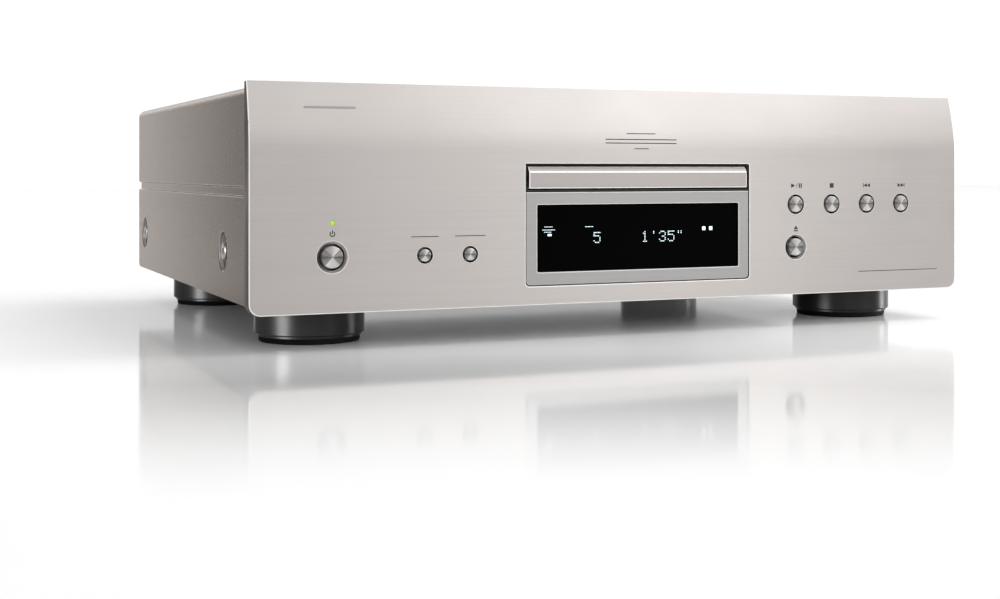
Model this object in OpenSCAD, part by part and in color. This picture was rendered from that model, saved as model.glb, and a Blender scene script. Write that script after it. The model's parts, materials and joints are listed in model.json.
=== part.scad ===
/* [Front panel] */
// Width of the front panel
panel_w = 434; // [430:1:438]
// Height of the front panel's top edge above the surface
overall_h = 134; // [132:1:136]
// Thickness of the front panel
panel_t = 10; // [9:0.5:11]
// Height of the gap under the front panel
floor_gap = 18.6; // [16:0.1:20]
// Radius of the front panel's lower corners
panel_corner_r = 6; // [2:0.5:9]
// Height over which the front panel curves back at the top
brow_h = 34; // [20:1:34]

/* [Body] */
// Depth from the front panel's face to the cover's back edge
body_d = 334; // [330:1:340]
// Width across the cover's sides
cover_w = 432; // [428:1:432]
// Thickness of the cover's sheet
cover_t = 1.6; // [1.2:0.1:2]
// Radius of the cover's top bends
cover_bend_r = 4.5; // [3:0.5:6]
// Depth of the groove along each side
groove_depth = 1.6; // [1:0.1:2]
// Thickness of the chassis sheet
sheet_t = 1.5; // [1:0.1:2]

/* [Feet] */
// Radius of a foot
foot_r = 29.25; // [26:0.25:30]
// Distance of the feet from the centre line
foot_x = 171.9; // [165:0.1:175]
// Distance of the feet from the middle of the depth
foot_y = 114; // [110:1:115]

/* [Opening] */
// Half width of the opening in the front panel
mouth_half_w = 69.5; // [69:0.1:70]
// Lower edge of the opening
mouth_z0 = 28.5; // [27:0.1:30]
// Upper edge of the opening
mouth_z1 = 93.4; // [93:0.1:94]
// Height of the line between the bezel and the tray sleeve
bezel_z1 = 78.2; // [77.5:0.1:78.4]
// Half width of the display window
window_half_w = 62.6; // [60:0.1:64]
// Lower edge of the display window
window_z0 = 35.7; // [34:0.1:37]
// Upper edge of the display window
window_z1 = 71.6; // [70:0.1:73]

/* [Buttons] */
// Distance that a button cap stands proud of the panel
button_proud = 0.6; // [0.4:0.1:2]
// Spacing of the buttons in a row
button_pitch = 25; // [24:0.5:26]
// Distance of the power button from the centre line
power_x = 175; // [170:1:180]
// Height of the power button
power_z = 46.6; // [44:0.1:50]
// Height of the row of transport buttons
transport_z = 70.3; // [68:0.1:74]

/* [Disc loader] */
// How far the disc tray slides out
tray_travel = 135; // [132:1:135]
// Radius of the disc pocket
disc_pocket_r = 60.6; // [60.3:0.1:61]
// Height of the disc pocket's floor
pocket_z = 86.4; // [86:0.1:86.6]
// Distance that the pickup travels along the disc's radius
sled_travel = 36; // [30:1:36]
// Distance that the cam slider moves
cam_travel = 14; // [10:1:14]

/* [Hidden] */
$fn = 48;

// Depth planes: the face looks along -Y, and y = 0 is the middle of the depth
face_y = -body_d / 2;
panel_back = face_y + panel_t;
cover_y0 = panel_back + 0.4;
cover_y1 = body_d / 2;
subframe_y = panel_back + 2.6;
subframe_t = 2;
base_y0 = subframe_y + subframe_t + 0.2;
rear_y = cover_y1 - 8;
jack_end = cover_y1 + button_proud;

// Heights
base_z = floor_gap + 4;
floor_top = base_z + sheet_t;
cover_top = overall_h - 2.6;
board_z = floor_top + 6;
board_t = 1.6;
board_top = board_z + board_t;

// Curve of the panel's top: a tight bend into a shallow one
brow_r1 = 75;
brow_a1 = 9;
brow_r2 = 200;
brow_h1 = brow_r1 * sin(brow_a1);
brow_steps = 14;

// Groove and dimples of the cover
groove_z = 76.5;
groove_h = 5.2;
dimple_r = 10;
dimple_depth = 2.2;
screw_z = 47.3;
screw_ys = [-103.7, 142.5];

// Buttons: cap radius, hole radius, countersink radius and place
button_travel = 0.8;
stem_r = 2.2;
fit_gap = 0.06;
small_cap_r = 3.2;
small_hole_r = 4.05;
small_z = power_z - 0.2;
transport_x = 101;
transport_cap_r = 4.5;
transport_hole_r = 5.4;
power_cap_r = 5.5;
power_hole_r = 6.8;
power_sink_r = 8.15;
eject_cap_r = 4.9;
eject_hole_r = 6.2;
eject_sink_r = 7.25;
eject_z = power_z - 0.8;
led_r = 1.2;
led_z = power_z + 17;
BUTTONS = [[-power_x, power_z, power_cap_r, power_hole_r, power_sink_r],
    [-transport_x - button_pitch, small_z, small_cap_r, small_hole_r, small_hole_r + 0.3],
    [-transport_x, small_z, small_cap_r, small_hole_r, small_hole_r + 0.3],
    for (i = [0:3]) [transport_x + i * button_pitch, transport_z, transport_cap_r,
        transport_hole_r, transport_hole_r + 0.3],
    [transport_x, eject_z, eject_cap_r, eject_hole_r, eject_sink_r]];
cap_y = face_y - button_proud;
flange_y = panel_back + 0.3;
flange_t = 1;
stem_y1 = subframe_y + 4.2;
switch_y = stem_y1 + button_travel + 0.3;
control_y = switch_y + 4.1;

// Disc loader: the disc turns about the line x = 0, y = disc_y
disc_y = -99;
tray_half_w = 66.5;
tray_y0 = face_y + 4.4;
tray_y1 = 5;
tray_z0 = 80.4;
tray_z1 = 91;
plate_z0 = pocket_z - 1.6;
slot_half_w = 19;
loader_x0 = 66.9;
loader_x1 = 76;
loader_y0 = -149.5;
loader_y1 = 18;
loader_z0 = 54;
loader_floor = 56.5;
bridge_z = 94.2;
bridge_t = 1.4;
opening_x0 = -42;
opening_x1 = 60;
opening_y0 = -125.9;
opening_y1 = -10;

// Gears: involute flanks, a stub addendum and a little backlash
pressure = 25;
backlash = 0.18;
addendum = 0.85;
dedendum = 1.12;
drive_m = 0.8;
pinion_n = 20;
wheel_n = 44;
small_n = 12;
drive_x = -50;
drive_y = -130.5;
rack_x = drive_x - pinion_n * drive_m / 2;
train_angle = -15;
train_d = (wheel_n + small_n) * drive_m / 2;
idler_x = drive_x + train_d * cos(train_angle);
idler_y = drive_y + train_d * sin(train_angle);
motor_x = 16;
motor_y = -138.6;
motor_r = 9.3;
pulley_r = 11;
motor_pulley_r = 3;
belt_t = 1.2;
belt_gap = 0.05;
pulley_z = 76.2;
pulley_h = 3.6;
post_r = 1.5;

// Traverse: level at rest, hinged at the back
hinge_y = -4;
hinge_z = 72;
hinge_r = 2;
traverse_y0 = -121;
traverse_y1 = -6;
traverse_x0 = -30;
traverse_x1 = 50;
traverse_z = 68;
traverse_t = 2.6;
traverse_top = traverse_z + traverse_t;
tilt_deg = 3.5;
cam_y0 = -125.3;
cam_t = 3;
cam_pin_x = 8;
cam_pin_r = 1.5;
cam_drop = (hinge_y - cam_y0 - cam_t / 2) * sin(tilt_deg);
rod_r = 1.5;
rod_z = 77;
rod_xs = [-24, 22];
sled_y0 = -79;
sled_y1 = -56;
sled_m = 0.8;
sled_pinion_n = 15;
sled_wheel_m = 0.5;
sled_wheel_n = 40;
sled_motor_n = 10;
sled_rack_x = 31;
sled_gear_x = sled_rack_x + sled_pinion_n * sled_m / 2;
sled_gear_y = -52;
sled_angle = 60;
sled_d = (sled_wheel_n + sled_motor_n) * sled_wheel_m / 2;
sled_motor_x = sled_gear_x + sled_d * cos(sled_angle);
sled_motor_y = sled_gear_y + sled_d * sin(sled_angle);
disc_z = pocket_z + 2;

// Rear sockets
inlet_x = -165;
inlet_z = 52;
phono_r = 4.15;
PHONO = [[150, 48], [150, 68], [18, 46]];
optical_x = 45;
optical_z = 46;
optical_half = 3.9;
REMOTE = [[78, 44], [94, 44]];
remote_r = 1.8;

module block(lo, hi) { translate(lo) cube(hi - lo); }
module rod_y(r, y0, y1, x, z) { translate([x, y0, z]) rotate([-90, 0, 0]) cylinder(r = r, h = y1 - y0); }
module rod_z(r, z0, z1, x, y) { translate([x, y, z0]) cylinder(r = r, h = z1 - z0); }
module rod_x(r, x0, x1, y, z) { translate([x0, y, z]) rotate([0, 90, 0]) cylinder(r = r, h = x1 - x0); }

// A solid of revolution whose profile holds [radius, y] points, about a line along Y
module turned_y(x, z, profile) {
    translate([x, 0, z]) rotate([-90, 0, 0]) rotate_extrude() polygon(profile);
}
module turned_z(x, y, profile) {
    translate([x, y, 0]) rotate_extrude() polygon(profile);
}
// A [y, z] outline drawn out along X from x0 to x1
module along_x(x0, x1) {
    translate([x0, 0, 0]) rotate([90, 0, 90]) linear_extrude(x1 - x0) children();
}
// An [x, z] outline drawn out along Y from y0 to y1
module along_y(y0, y1) {
    translate([0, y1, 0]) rotate([90, 0, 0]) linear_extrude(y1 - y0) children();
}
module both_sides() {
    children();
    mirror([1, 0, 0]) children();
}

// ---- front ----

function brow_setback(h) = h < brow_h1
    ? brow_r1 - sqrt(brow_r1 * brow_r1 - h * h)
    : brow_r1 * (1 - cos(brow_a1))
        + brow_r2 * (cos(brow_a1) - cos(asin(sin(brow_a1) + (h - brow_h1) / brow_r2)));

module panel_profile() {
    edge = 0.6;
    brow_z = overall_h - brow_h;
    polygon([[face_y + edge, floor_gap], [face_y, floor_gap + edge],
        for (i = [0:brow_steps])
            let (h = brow_h * i / brow_steps) [face_y + brow_setback(h), brow_z + h],
        [panel_back, overall_h], [panel_back, floor_gap]]);
}

module panel_outline() {
    half = panel_w / 2;
    translate([-half, floor_gap + panel_corner_r]) square([panel_w, overall_h]);
    translate([-half + panel_corner_r, floor_gap])
        square([panel_w - 2 * panel_corner_r, overall_h]);
    for (s = [-1, 1])
        translate([s * (half - panel_corner_r), floor_gap + panel_corner_r])
            circle(panel_corner_r);
}

module front_panel() {
    sink = 1.2;
    color("silver") difference() {
        intersection() {
            along_x(-panel_w / 2, panel_w / 2) panel_profile();
            along_y(face_y - 1, panel_back + 1) panel_outline();
        }
        block([-mouth_half_w, face_y - 1, mouth_z0], [mouth_half_w, panel_back + 1, mouth_z1]);
        for (b = BUTTONS) {
            rod_y(b[3], face_y - 1, panel_back + 1, b[0], b[1]);
            translate([b[0], face_y, b[1]]) rotate([-90, 0, 0])
                cylinder(r1 = b[4], r2 = b[3], h = sink);
        }
        rod_y(led_r + 0.05, face_y - 1, panel_back + 1, -power_x, led_z);
    }
}

module front_subframe() {
    plate_y1 = subframe_y + subframe_t;
    half = 206;
    sleeve_x = mouth_half_w - 0.3;
    sleeve_z0 = bezel_z1 + 0.3;
    sleeve_z1 = mouth_z1 - 0.3;
    color("dimgray") difference() {
        union() {
            block([-half, subframe_y, base_z], [half, plate_y1, cover_top - 3]);
            block([-sleeve_x, face_y + 1.1, sleeve_z0], [sleeve_x, plate_y1, sleeve_z1]);
            for (x = [-half + 6, half - 6], z = [base_z + 8, cover_top - 10])
                rod_y(4, panel_back, plate_y1, x, z);
            for (b = BUTTONS)
                rod_y(stem_r + 2, subframe_y, plate_y1 + 1.4, b[0], b[1]);
        }
        block([-sleeve_x + 0.9, face_y, sleeve_z0 + 1], [sleeve_x - 0.9, plate_y1 + 1, sleeve_z1 - 0.6]);
        block([-61, subframe_y - 1, 34], [61, plate_y1 + 1, 75]);
        for (b = BUTTONS)
            rod_y(stem_r + fit_gap, subframe_y - 1, plate_y1 + 3, b[0], b[1]);
        rod_y(2.1, subframe_y - 1, plate_y1 + 1, -power_x, led_z);
    }
}

module display_bezel() {
    gap = 0.6;
    half = mouth_half_w - gap;
    z0 = mouth_z0 + gap;
    front = face_y + 0.5;
    ledge = face_y + 4.2;
    color("gray") difference() {
        union() {
            block([-half, front, z0], [half, panel_back, bezel_z1]);
            block([-73, panel_back, 25], [73, panel_back + 1.5, bezel_z1]);
        }
        block([-window_half_w, front - 1, window_z0], [window_half_w, ledge, window_z1]);
        block([-window_half_w + 3, ledge - 1, window_z0 + 3],
            [window_half_w - 3, panel_back + 2, window_z1 - 3]);
    }
}

module display_window() {
    play = 0.1;
    color("black")
        block([-window_half_w + play, face_y + 2.2, window_z0 + play],
            [window_half_w - play, face_y + 4.2, window_z1 - play]);
}

module display_module() {
    glass_y = face_y + 8;
    color("darkslategray") {
        block([-50, glass_y, 40], [50, glass_y + 6.5, 67]);
        block([-58, glass_y + 6.5, 35], [58, glass_y + 8, 74]);
    }
}

module control_board(x0, x1, z0, z1, buttons) {
    block([x0, control_y, z0], [x1, control_y + board_t, z1]);
    for (b = buttons) {
        block([b[0] - 3, control_y - 3.3, b[1] - 3], [b[0] + 3, control_y, b[1] + 3]);
        rod_y(1.7, switch_y, control_y - 3.3, b[0], b[1]);
    }
}

module control_boards() {
    color("darkgreen") {
        control_board(-200, -85, 34, 72, [for (i = [0:2]) BUTTONS[i]]);
        control_board(85, 200, 34, 86, [for (i = [3:7]) BUTTONS[i]]);
    }
}

module led_lens() {
    color("yellowgreen")
        turned_y(-power_x, led_z, [[0, face_y - 0.2], [led_r * 0.7, face_y - 0.2], [led_r, face_y + 0.2],
            [led_r, panel_back], [2, panel_back], [2, control_y], [0, control_y]]);
}

// ---- buttons ----

module push_button(b) {
    bevel = 0.4;
    color("silver")
        turned_y(b[0], b[1], [[0, cap_y], [b[2] - bevel, cap_y], [b[2], cap_y + bevel],
            [b[2], flange_y], [b[3] + 1, flange_y], [b[3] + 1, flange_y + flange_t],
            [stem_r, flange_y + flange_t], [stem_r, stem_y1], [0, stem_y1]]);
}
module power_button() { push_button(BUTTONS[0]); }
module layer_button() { push_button(BUTTONS[1]); }
module direct_button() { push_button(BUTTONS[2]); }
module play_button() { push_button(BUTTONS[3]); }
module stop_button() { push_button(BUTTONS[4]); }
module previous_button() { push_button(BUTTONS[5]); }
module next_button() { push_button(BUTTONS[6]); }
module eject_button() { push_button(BUTTONS[7]); }

// ---- case ----

module rounded_arch(half, top, r) {
    translate([-half, base_z]) square([2 * half, top - r - base_z]);
    translate([-half + r, base_z]) square([2 * (half - r), top - base_z]);
    for (s = [-1, 1]) translate([s * (half - r), top - r]) circle(r);
}

module cover_section() {
    half = cover_w / 2;
    difference() {
        rounded_arch(half, cover_top, cover_bend_r);
        difference() {
            translate([0, -1])
                rounded_arch(half - cover_t, cover_top - cover_t + 1, cover_bend_r - cover_t);
            for (s = [-1, 1])
                translate([s * (half - cover_t) - groove_depth, groove_z - cover_t])
                    square([2 * groove_depth, groove_h + 2 * cover_t]);
        }
        for (s = [-1, 1])
            translate([s * half - groove_depth, groove_z]) square([2 * groove_depth, groove_h]);
    }
}

module top_cover() {
    half = cover_w / 2;
    color("silver") difference() {
        union() {
            along_y(cover_y0, cover_y1) cover_section();
            for (y = screw_ys)
                both_sides() rod_x(dimple_r + 1.5, half - dimple_depth - cover_t, half - cover_t, y, screw_z);
        }
        for (y = screw_ys) both_sides() {
            rod_x(dimple_r, half - dimple_depth, half + 1, y, screw_z);
            rod_x(2.05, half - 6, half, y, screw_z);
        }
    }
}

module cover_screws() {
    seat = cover_w / 2 - dimple_depth;
    color("dimgray") for (y = screw_ys) both_sides() difference() {
        union() {
            rod_x(4.5, seat, seat + 2, y, screw_z);
            rod_x(2, seat - 6, seat, y, screw_z);
        }
        translate([seat + 0.6, y, screw_z]) rotate([0, 90, 0]) cylinder(r = 1.7, h = 3, $fn = 6);
    }
}

DAMPERS = [for (x = [-66, 66], y = [-140, 8]) [x, y]];
damper_z0 = 44;
STANDOFFS = [for (x = [-198, -102], y = [28, 132]) [x, y],
    for (x = [102, 198], y = [-32, 142]) [x, y],
    for (x = [-62, 67], y = [48, 142]) [x, y]];
FEET = [for (x = [-foot_x, foot_x], y = [-foot_y, foot_y]) [x, y]];
TRANSFORMERS = [[-158, -100], [-158, -32]];
REAR_SCREWS_X = [-190, -95, 0, 95, 190];
REAR_SCREWS_Z = cover_top - 8;

module base_chassis() {
    half = 211.9;
    flange_h = 42;
    color("lightgray") difference() {
        union() {
            block([-half, base_y0, base_z], [half, rear_y - sheet_t, floor_top]);
            both_sides() block([half - sheet_t, base_y0, base_z],
                [half, rear_y - sheet_t, base_z + flange_h]);
            block([-half, base_y0, base_z], [half, base_y0 + sheet_t, base_z + 12]);
            for (p = DAMPERS) rod_z(7, base_z, damper_z0, p[0], p[1]);
            for (p = STANDOFFS) rod_z(3.5, base_z, board_z, p[0], p[1]);
        }
        for (p = DAMPERS) rod_z(1.55, base_z - 1, damper_z0 + 1, p[0], p[1]);
        for (p = STANDOFFS) rod_z(1.3, base_z - 1, board_z + 1, p[0], p[1]);
        for (p = FEET) rod_z(2.05, base_z - 1, floor_top + 1, p[0], p[1]);
        for (y = screw_ys) both_sides() rod_x(2.05, half - 8, half + 1, y, screw_z);
    }
}

module rear_panel() {
    half = 212.6;
    y0 = rear_y - sheet_t;
    color("lightgray") difference() {
        block([-half, y0, base_z], [half, rear_y, cover_top - cover_t - 0.3]);
        block([inlet_x - 14, y0 - 1, inlet_z - 10], [inlet_x + 14, rear_y + 1, inlet_z + 10]);
        for (p = PHONO) rod_y(phono_r + 0.3, y0 - 1, rear_y + 1, p[0], p[1]);
        block([optical_x - 5.3, y0 - 1, optical_z - 5.3], [optical_x + 5.3, rear_y + 1, optical_z + 5.3]);
        for (p = REMOTE) rod_y(3.1, y0 - 1, rear_y + 1, p[0], p[1]);
        for (x = REAR_SCREWS_X) rod_y(1.3, y0 - 1, rear_y + 1, x, REAR_SCREWS_Z);
        for (s = [-1, 1]) rod_y(1.3, y0 - 1, rear_y + 1, inlet_x + s * 20, inlet_z);
    }
}
// ---- feet ----

pad_t = 3;
pad_r = foot_r - 2.5;
well_r = 14;
web_z = 12;
foot_bore_r = 2.3;

module foot(x, y) {
    color("black") turned_z(x, y, [[foot_bore_r, base_z], [foot_r - 0.6, base_z], [foot_r, base_z - 0.6],
        [foot_r, pad_t + 1.6], [foot_r - 1.6, pad_t], [well_r, pad_t], [well_r, web_z],
        [foot_bore_r, web_z]]);
}
module foot_front_left() { foot(-foot_x, -foot_y); }
module foot_front_right() { foot(foot_x, -foot_y); }
module foot_rear_left() { foot(-foot_x, foot_y); }
module foot_rear_right() { foot(foot_x, foot_y); }

module foot_pads() {
    color("dimgray") for (p = FEET)
        turned_z(p[0], p[1], [[well_r, 0], [pad_r - 0.5, 0], [pad_r, 0.5], [pad_r, pad_t], [well_r, pad_t]]);
}

// A pan-head screw along Z, with its head below z or, with up = 1, above it
module screw_z_axis(x, y, z, r, head_r, head_h, length, up) {
    head_z = up > 0 ? z : z - head_h;
    shank_z = up > 0 ? z - length : z;
    rod_z(head_r, head_z, head_z + head_h, x, y);
    rod_z(r, shank_z, shank_z + length, x, y);
}

module chassis_screws() {
    color("silver") {
        for (p = FEET) screw_z_axis(p[0], p[1], web_z, 2, 5, 3, 14, -1);
        for (p = STANDOFFS) screw_z_axis(p[0], p[1], board_top, 1.25, 2.8, 1.8, 7, 1);
        for (p = DAMPERS) screw_z_axis(p[0], p[1], loader_floor, 1.5, 4, 2, 22, 1);
        for (x = REAR_SCREWS_X) {
            rod_y(2.8, rear_y, rear_y + 1.8, x, REAR_SCREWS_Z);
            rod_y(1.25, rear_y - 6, rear_y, x, REAR_SCREWS_Z);
        }
        for (s = [-1, 1]) {
            rod_y(2.8, rear_y + 2.2, rear_y + 4, inlet_x + s * 20, inlet_z);
            rod_y(1.25, rear_y - 6, rear_y + 2.2, inlet_x + s * 20, inlet_z);
        }
    }
}

// ---- rear sockets ----

module mains_inlet() {
    y0 = rear_y - 14;
    wall = 1.5;
    cavity_x = 12.2;
    cavity_z = 8.2;
    color("black") difference() {
        union() {
            block([inlet_x - 13.7, y0, inlet_z - 9.7], [inlet_x + 13.7, rear_y, inlet_z + 9.7]);
            block([inlet_x - 24, rear_y, inlet_z - 11], [inlet_x + 24, rear_y + 2.2, inlet_z + 11]);
        }
        block([inlet_x - cavity_x, y0 + wall, inlet_z - cavity_z],
            [inlet_x + cavity_x, rear_y + 3, inlet_z + cavity_z]);
        for (s = [-1, 1]) rod_y(1.3, rear_y - 1, rear_y + 3, inlet_x + s * 20, inlet_z);
    }
    color("silver") {
        for (s = [-1, 1])
            block([inlet_x + s * 7 - 1, y0 - 4, inlet_z], [inlet_x + s * 7 + 1, rear_y - 1, inlet_z + 4]);
        block([inlet_x - 1, y0 - 4, inlet_z + 3.2], [inlet_x + 1, rear_y, inlet_z + 7.2]);
    }
}

module phono_jacks() {
    y0 = rear_y - 13;
    y1 = rear_y - sheet_t;
    color("gold") for (p = PHONO) difference() {
        union() {
            block([p[0] - 5.5, y0, p[1] - 6], [p[0] + 5.5, y1, p[1] + 6]);
            rod_y(phono_r, y1, jack_end, p[0], p[1]);
            rod_y(phono_r + 1.3, rear_y, rear_y + 1, p[0], p[1]);
        }
        rod_y(1.65, jack_end - 9, jack_end + 1, p[0], p[1]);
        difference() {
            rod_y(phono_r - 0.45, jack_end - 1, jack_end + 1, p[0], p[1]);
            rod_y(2.6, jack_end - 2, jack_end + 2, p[0], p[1]);
        }
    }
}

module optical_jack() {
    y0 = rear_y - 13;
    mouth_y = rear_y + 0.8;
    color("black") difference() {
        union() {
            block([optical_x - 5, y0, optical_z - 5], [optical_x + 5, mouth_y, optical_z + 5]);
            block([optical_x - 6.5, rear_y, optical_z - 6.5], [optical_x + 6.5, mouth_y, optical_z + 6.5]);
        }
        block([optical_x - optical_half, y0 + 2, optical_z - optical_half],
            [optical_x + optical_half, mouth_y + 1, optical_z + optical_half]);
        rod_x(0.56, optical_x - 4.7, optical_x + 4.7, rear_y - 0.2, optical_z + 3);
    }
}

module optical_shutter() {
    play = 0.3;
    y0 = rear_y - 0.6;
    color("dimgray") {
        block([optical_x - optical_half + play, y0, optical_z - optical_half + play],
            [optical_x + optical_half - play, y0 + 0.8, optical_z + 3]);
        rod_x(0.5, optical_x - 4.5, optical_x + 4.5, rear_y - 0.2, optical_z + 3);
    }
}

module remote_jacks() {
    y0 = rear_y - 13;
    y1 = rear_y - sheet_t;
    color("black") for (p = REMOTE) difference() {
        union() {
            block([p[0] - 5, y0, p[1] - 5.5], [p[0] + 5, y1, p[1] + 5.5]);
            rod_y(3, y1, rear_y + 2.5, p[0], p[1]);
            rod_y(4.6, rear_y, rear_y + 1.6, p[0], p[1]);
        }
        rod_y(remote_r, y0 + 1.5, rear_y + 4, p[0], p[1]);
    }
}

// ---- electronics ----

core_w = 66;
core_d = 22;
core_h = 55;
limb = core_w / 6;

module transformer_cores() {
    z0 = floor_top + 1.2;
    color("dimgray") for (p = TRANSFORMERS) translate([p[0], p[1], z0]) {
        difference() {
            block([-core_w / 2, -core_d / 2, 0], [core_w / 2, core_d / 2, core_h]);
            for (s = [-1, 1]) block([s * limb * 1.5 - limb / 2, -core_d, limb],
                [s * limb * 1.5 + limb / 2, core_d, core_h - limb]);
        }
        difference() {
            block([-core_w / 2 - 1.2, -8, -1.2], [core_w / 2 + 1.2, 8, core_h + 1.2]);
            block([-core_w / 2, -9, -2], [core_w / 2, 9, core_h]);
        }
        both_sides() block([core_w / 2 + 1.2, -8, -1.2], [core_w / 2 + 9, 8, 0]);
    }
}

module transformer_coils() {
    play = 0.3;
    z0 = floor_top + 1.2;
    outer = limb * 2 - play;
    inner = limb + play;
    color("peru") for (p = TRANSFORMERS) translate([p[0], p[1], z0]) difference() {
        block([-outer, -outer, limb + play], [outer, outer, core_h - limb - play]);
        block([-inner, -core_d / 2 - play, 0], [inner, core_d / 2 + play, core_h]);
    }
}

module board(x0, x1, y0, y1) {
    difference() {
        block([x0, y0, board_z], [x1, y1, board_top]);
        for (p = STANDOFFS) rod_z(1.6, board_z - 1, board_top + 1, p[0], p[1]);
    }
}
module power_board() { color("darkgoldenrod") board(-205, -95, 20, 140); }
module audio_board() { color("darkgreen") board(95, 205, -40, 150); }
module digital_board() { color("darkgreen") board(-70, 75, 40, 150); }

CAPACITORS = [for (i = [0:1], j = [0:1]) [-185 + 30 * i, 60 + 30 * j, 12.5, 40],
    for (i = [0:2]) [-190 + 20 * i, 120, 8, 25],
    for (i = [0:1], j = [0:4]) [115 + 16 * i, -20 + 20 * j, 5, 16],
    for (i = [0:3]) [170, -20 + 22 * i, 9, 30],
    for (i = [0:3]) [-50 + 16 * i, 128, 4, 11]];

module capacitors() {
    color("midnightblue") for (c = CAPACITORS)
        turned_z(c[0], c[1], [[0, board_top], [c[2], board_top], [c[2], board_top + 2],
            [c[2] - 0.5, board_top + 2.6], [c[2], board_top + 3.2], [c[2], board_top + c[3] - 0.5],
            [c[2] - 0.5, board_top + c[3]], [0, board_top + c[3]]]);
}

module heatsink() {
    fins = 9;
    color("gray") {
        block([-118, 40, board_top], [-115, 112, board_top + 42]);
        for (i = [0:fins - 1])
            block([-115, 40 + i * 8.8, board_top + 1], [-101, 41.6 + i * 8.8, board_top + 42]);
    }
}

// Chips: place on a board, size along X and Y, height
CHIPS = [[-30, 85, 20, 20, 2], [10, 95, 14, 14, 1.6], [40, 80, 22, 10, 1.4], [10, 62, 10, 16, 1.4],
    [150, 20, 10, 10, 1.6], [150, 50, 10, 8, 1.6], [150, 80, 10, 8, 1.6], [190, 40, 12, 12, 1.6],
    [150, 110, 12, 8, 1.6], [-30, 55, 24, 5, 6], [45, 55, 24, 5, 6], [190, -20, 5, 20, 6]];
module chips() {
    color("black") {
        for (c = CHIPS)
            translate([c[0] - c[2] / 2, c[1] - c[3] / 2, board_top]) cube([c[2], c[3], c[4]]);
        for (i = [0:2])
            block([-122.6, 48 + i * 22, board_top + 8], [-118, 58 + i * 22, board_top + 24]);
    }
}

module ribbon_cables() {
    t = 0.6;
    y1 = 55;
    color("white") for (r = [[-45, -15, 38], [35, 55, 42]]) {
        block([r[0], -138, r[2]], [r[1], y1, r[2] + t]);
        block([r[0], y1 - t, board_top + 6], [r[1], y1, r[2] + t]);
        block([r[0], -138, 32], [r[1], -138 + t, r[2] + t]);
    }
}

// ---- disc loader ----

module loader_chassis() {
    ledge_x = 63.6;
    ledge_z = tray_z0 - 0.4;
    tab_ys = [-146, -118, -70, -30, 4];
    rib_y0 = -128.2;
    peg_z = 57.5;
    color("darkslategray") difference() {
        union() {
            difference() {
                block([-loader_x1, loader_y0, loader_z0], [loader_x1, loader_y1, loader_floor]);
                block([opening_x0, opening_y0, loader_z0 - 1], [opening_x1, opening_y1, loader_floor + 1]);
            }
            both_sides() {
                block([loader_x0 + 5.6, loader_y0, loader_z0], [loader_x1, loader_y1, bridge_z]);
                block([loader_x0, loader_y0, ledge_z - 2], [loader_x1, loader_y1, tray_z1 + 0.4]);
                block([ledge_x, loader_y0, ledge_z - 2], [loader_x1, loader_y1, ledge_z]);
                for (y = tab_ys) block([ledge_x, y, tray_z1 + 0.4], [loader_x1, y + 6, tray_z1 + 1.6]);
            }
            block([-loader_x1, loader_y0, loader_z0], [loader_x1, loader_y0 + 1.5, 62]);
            block([-loader_x1, loader_y1 - 2.5, loader_z0], [loader_x1, loader_y1, 78]);
            block([-29, rib_y0, loader_z0], [62, opening_y0, 70]);
            for (x = [-4, 30]) rod_y(1.5, rib_y0, cam_y0 + cam_t + 0.4, x, peg_z);
            for (g = [[drive_x, drive_y, 64.6, 84], [idler_x, idler_y, 64.4, 80.4]]) {
                rod_z(3, loader_z0, g[2], g[0], g[1]);
                rod_z(post_r, loader_z0, g[3], g[0], g[1]);
            }
            for (x = [[-39, -36], [54, 57]])
                block([x[0], hinge_y - 4, loader_z0], [x[1], hinge_y + 4, hinge_z + 4]);
        }
        rod_x(hinge_r + fit_gap, -40, 58, hinge_y, hinge_z);
        for (p = DAMPERS) rod_z(1.6, loader_z0 - 1, loader_floor + 1, p[0], p[1]);
    }
}

module loader_dampers() {
    r = 6.5;
    waist = 1.5;
    z1 = loader_z0;
    mid = (damper_z0 + z1) / 2;
    color("black") for (p = DAMPERS)
        turned_z(p[0], p[1], [[1.6, damper_z0], [r, damper_z0], [r, mid - 2], [r - waist, mid - 1],
            [r - waist, mid + 1], [r, mid + 2], [r, z1], [1.6, z1]]);
}

module clamp_bridge() {
    color("silver") difference() {
        union() {
            block([-loader_x1, disc_y - 17, bridge_z], [loader_x1, disc_y + 17, bridge_z + bridge_t]);
            for (s = [-1, 1])
                block([-50, disc_y + s * 17 - (s > 0 ? bridge_t : 0), bridge_z],
                    [50, disc_y + s * 17 + (s < 0 ? bridge_t : 0), bridge_z + 4.5]);
        }
        rod_z(9, bridge_z - 1, bridge_z + 6, 0, disc_y);
    }
}

module clamper() {
    color("dimgray") turned_z(0, disc_y, [[0, disc_z + 4.2], [8.2, disc_z + 4.2], [8.2, disc_z + 1.5],
        [14.5, disc_z + 1.5], [14.5, disc_z + 5], [7.5, disc_z + 5], [7.5, bridge_z + bridge_t + 0.3],
        [13, bridge_z + bridge_t + 0.3], [13, bridge_z + bridge_t + 1.8], [0, bridge_z + bridge_t + 1.8]]);
}

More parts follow.
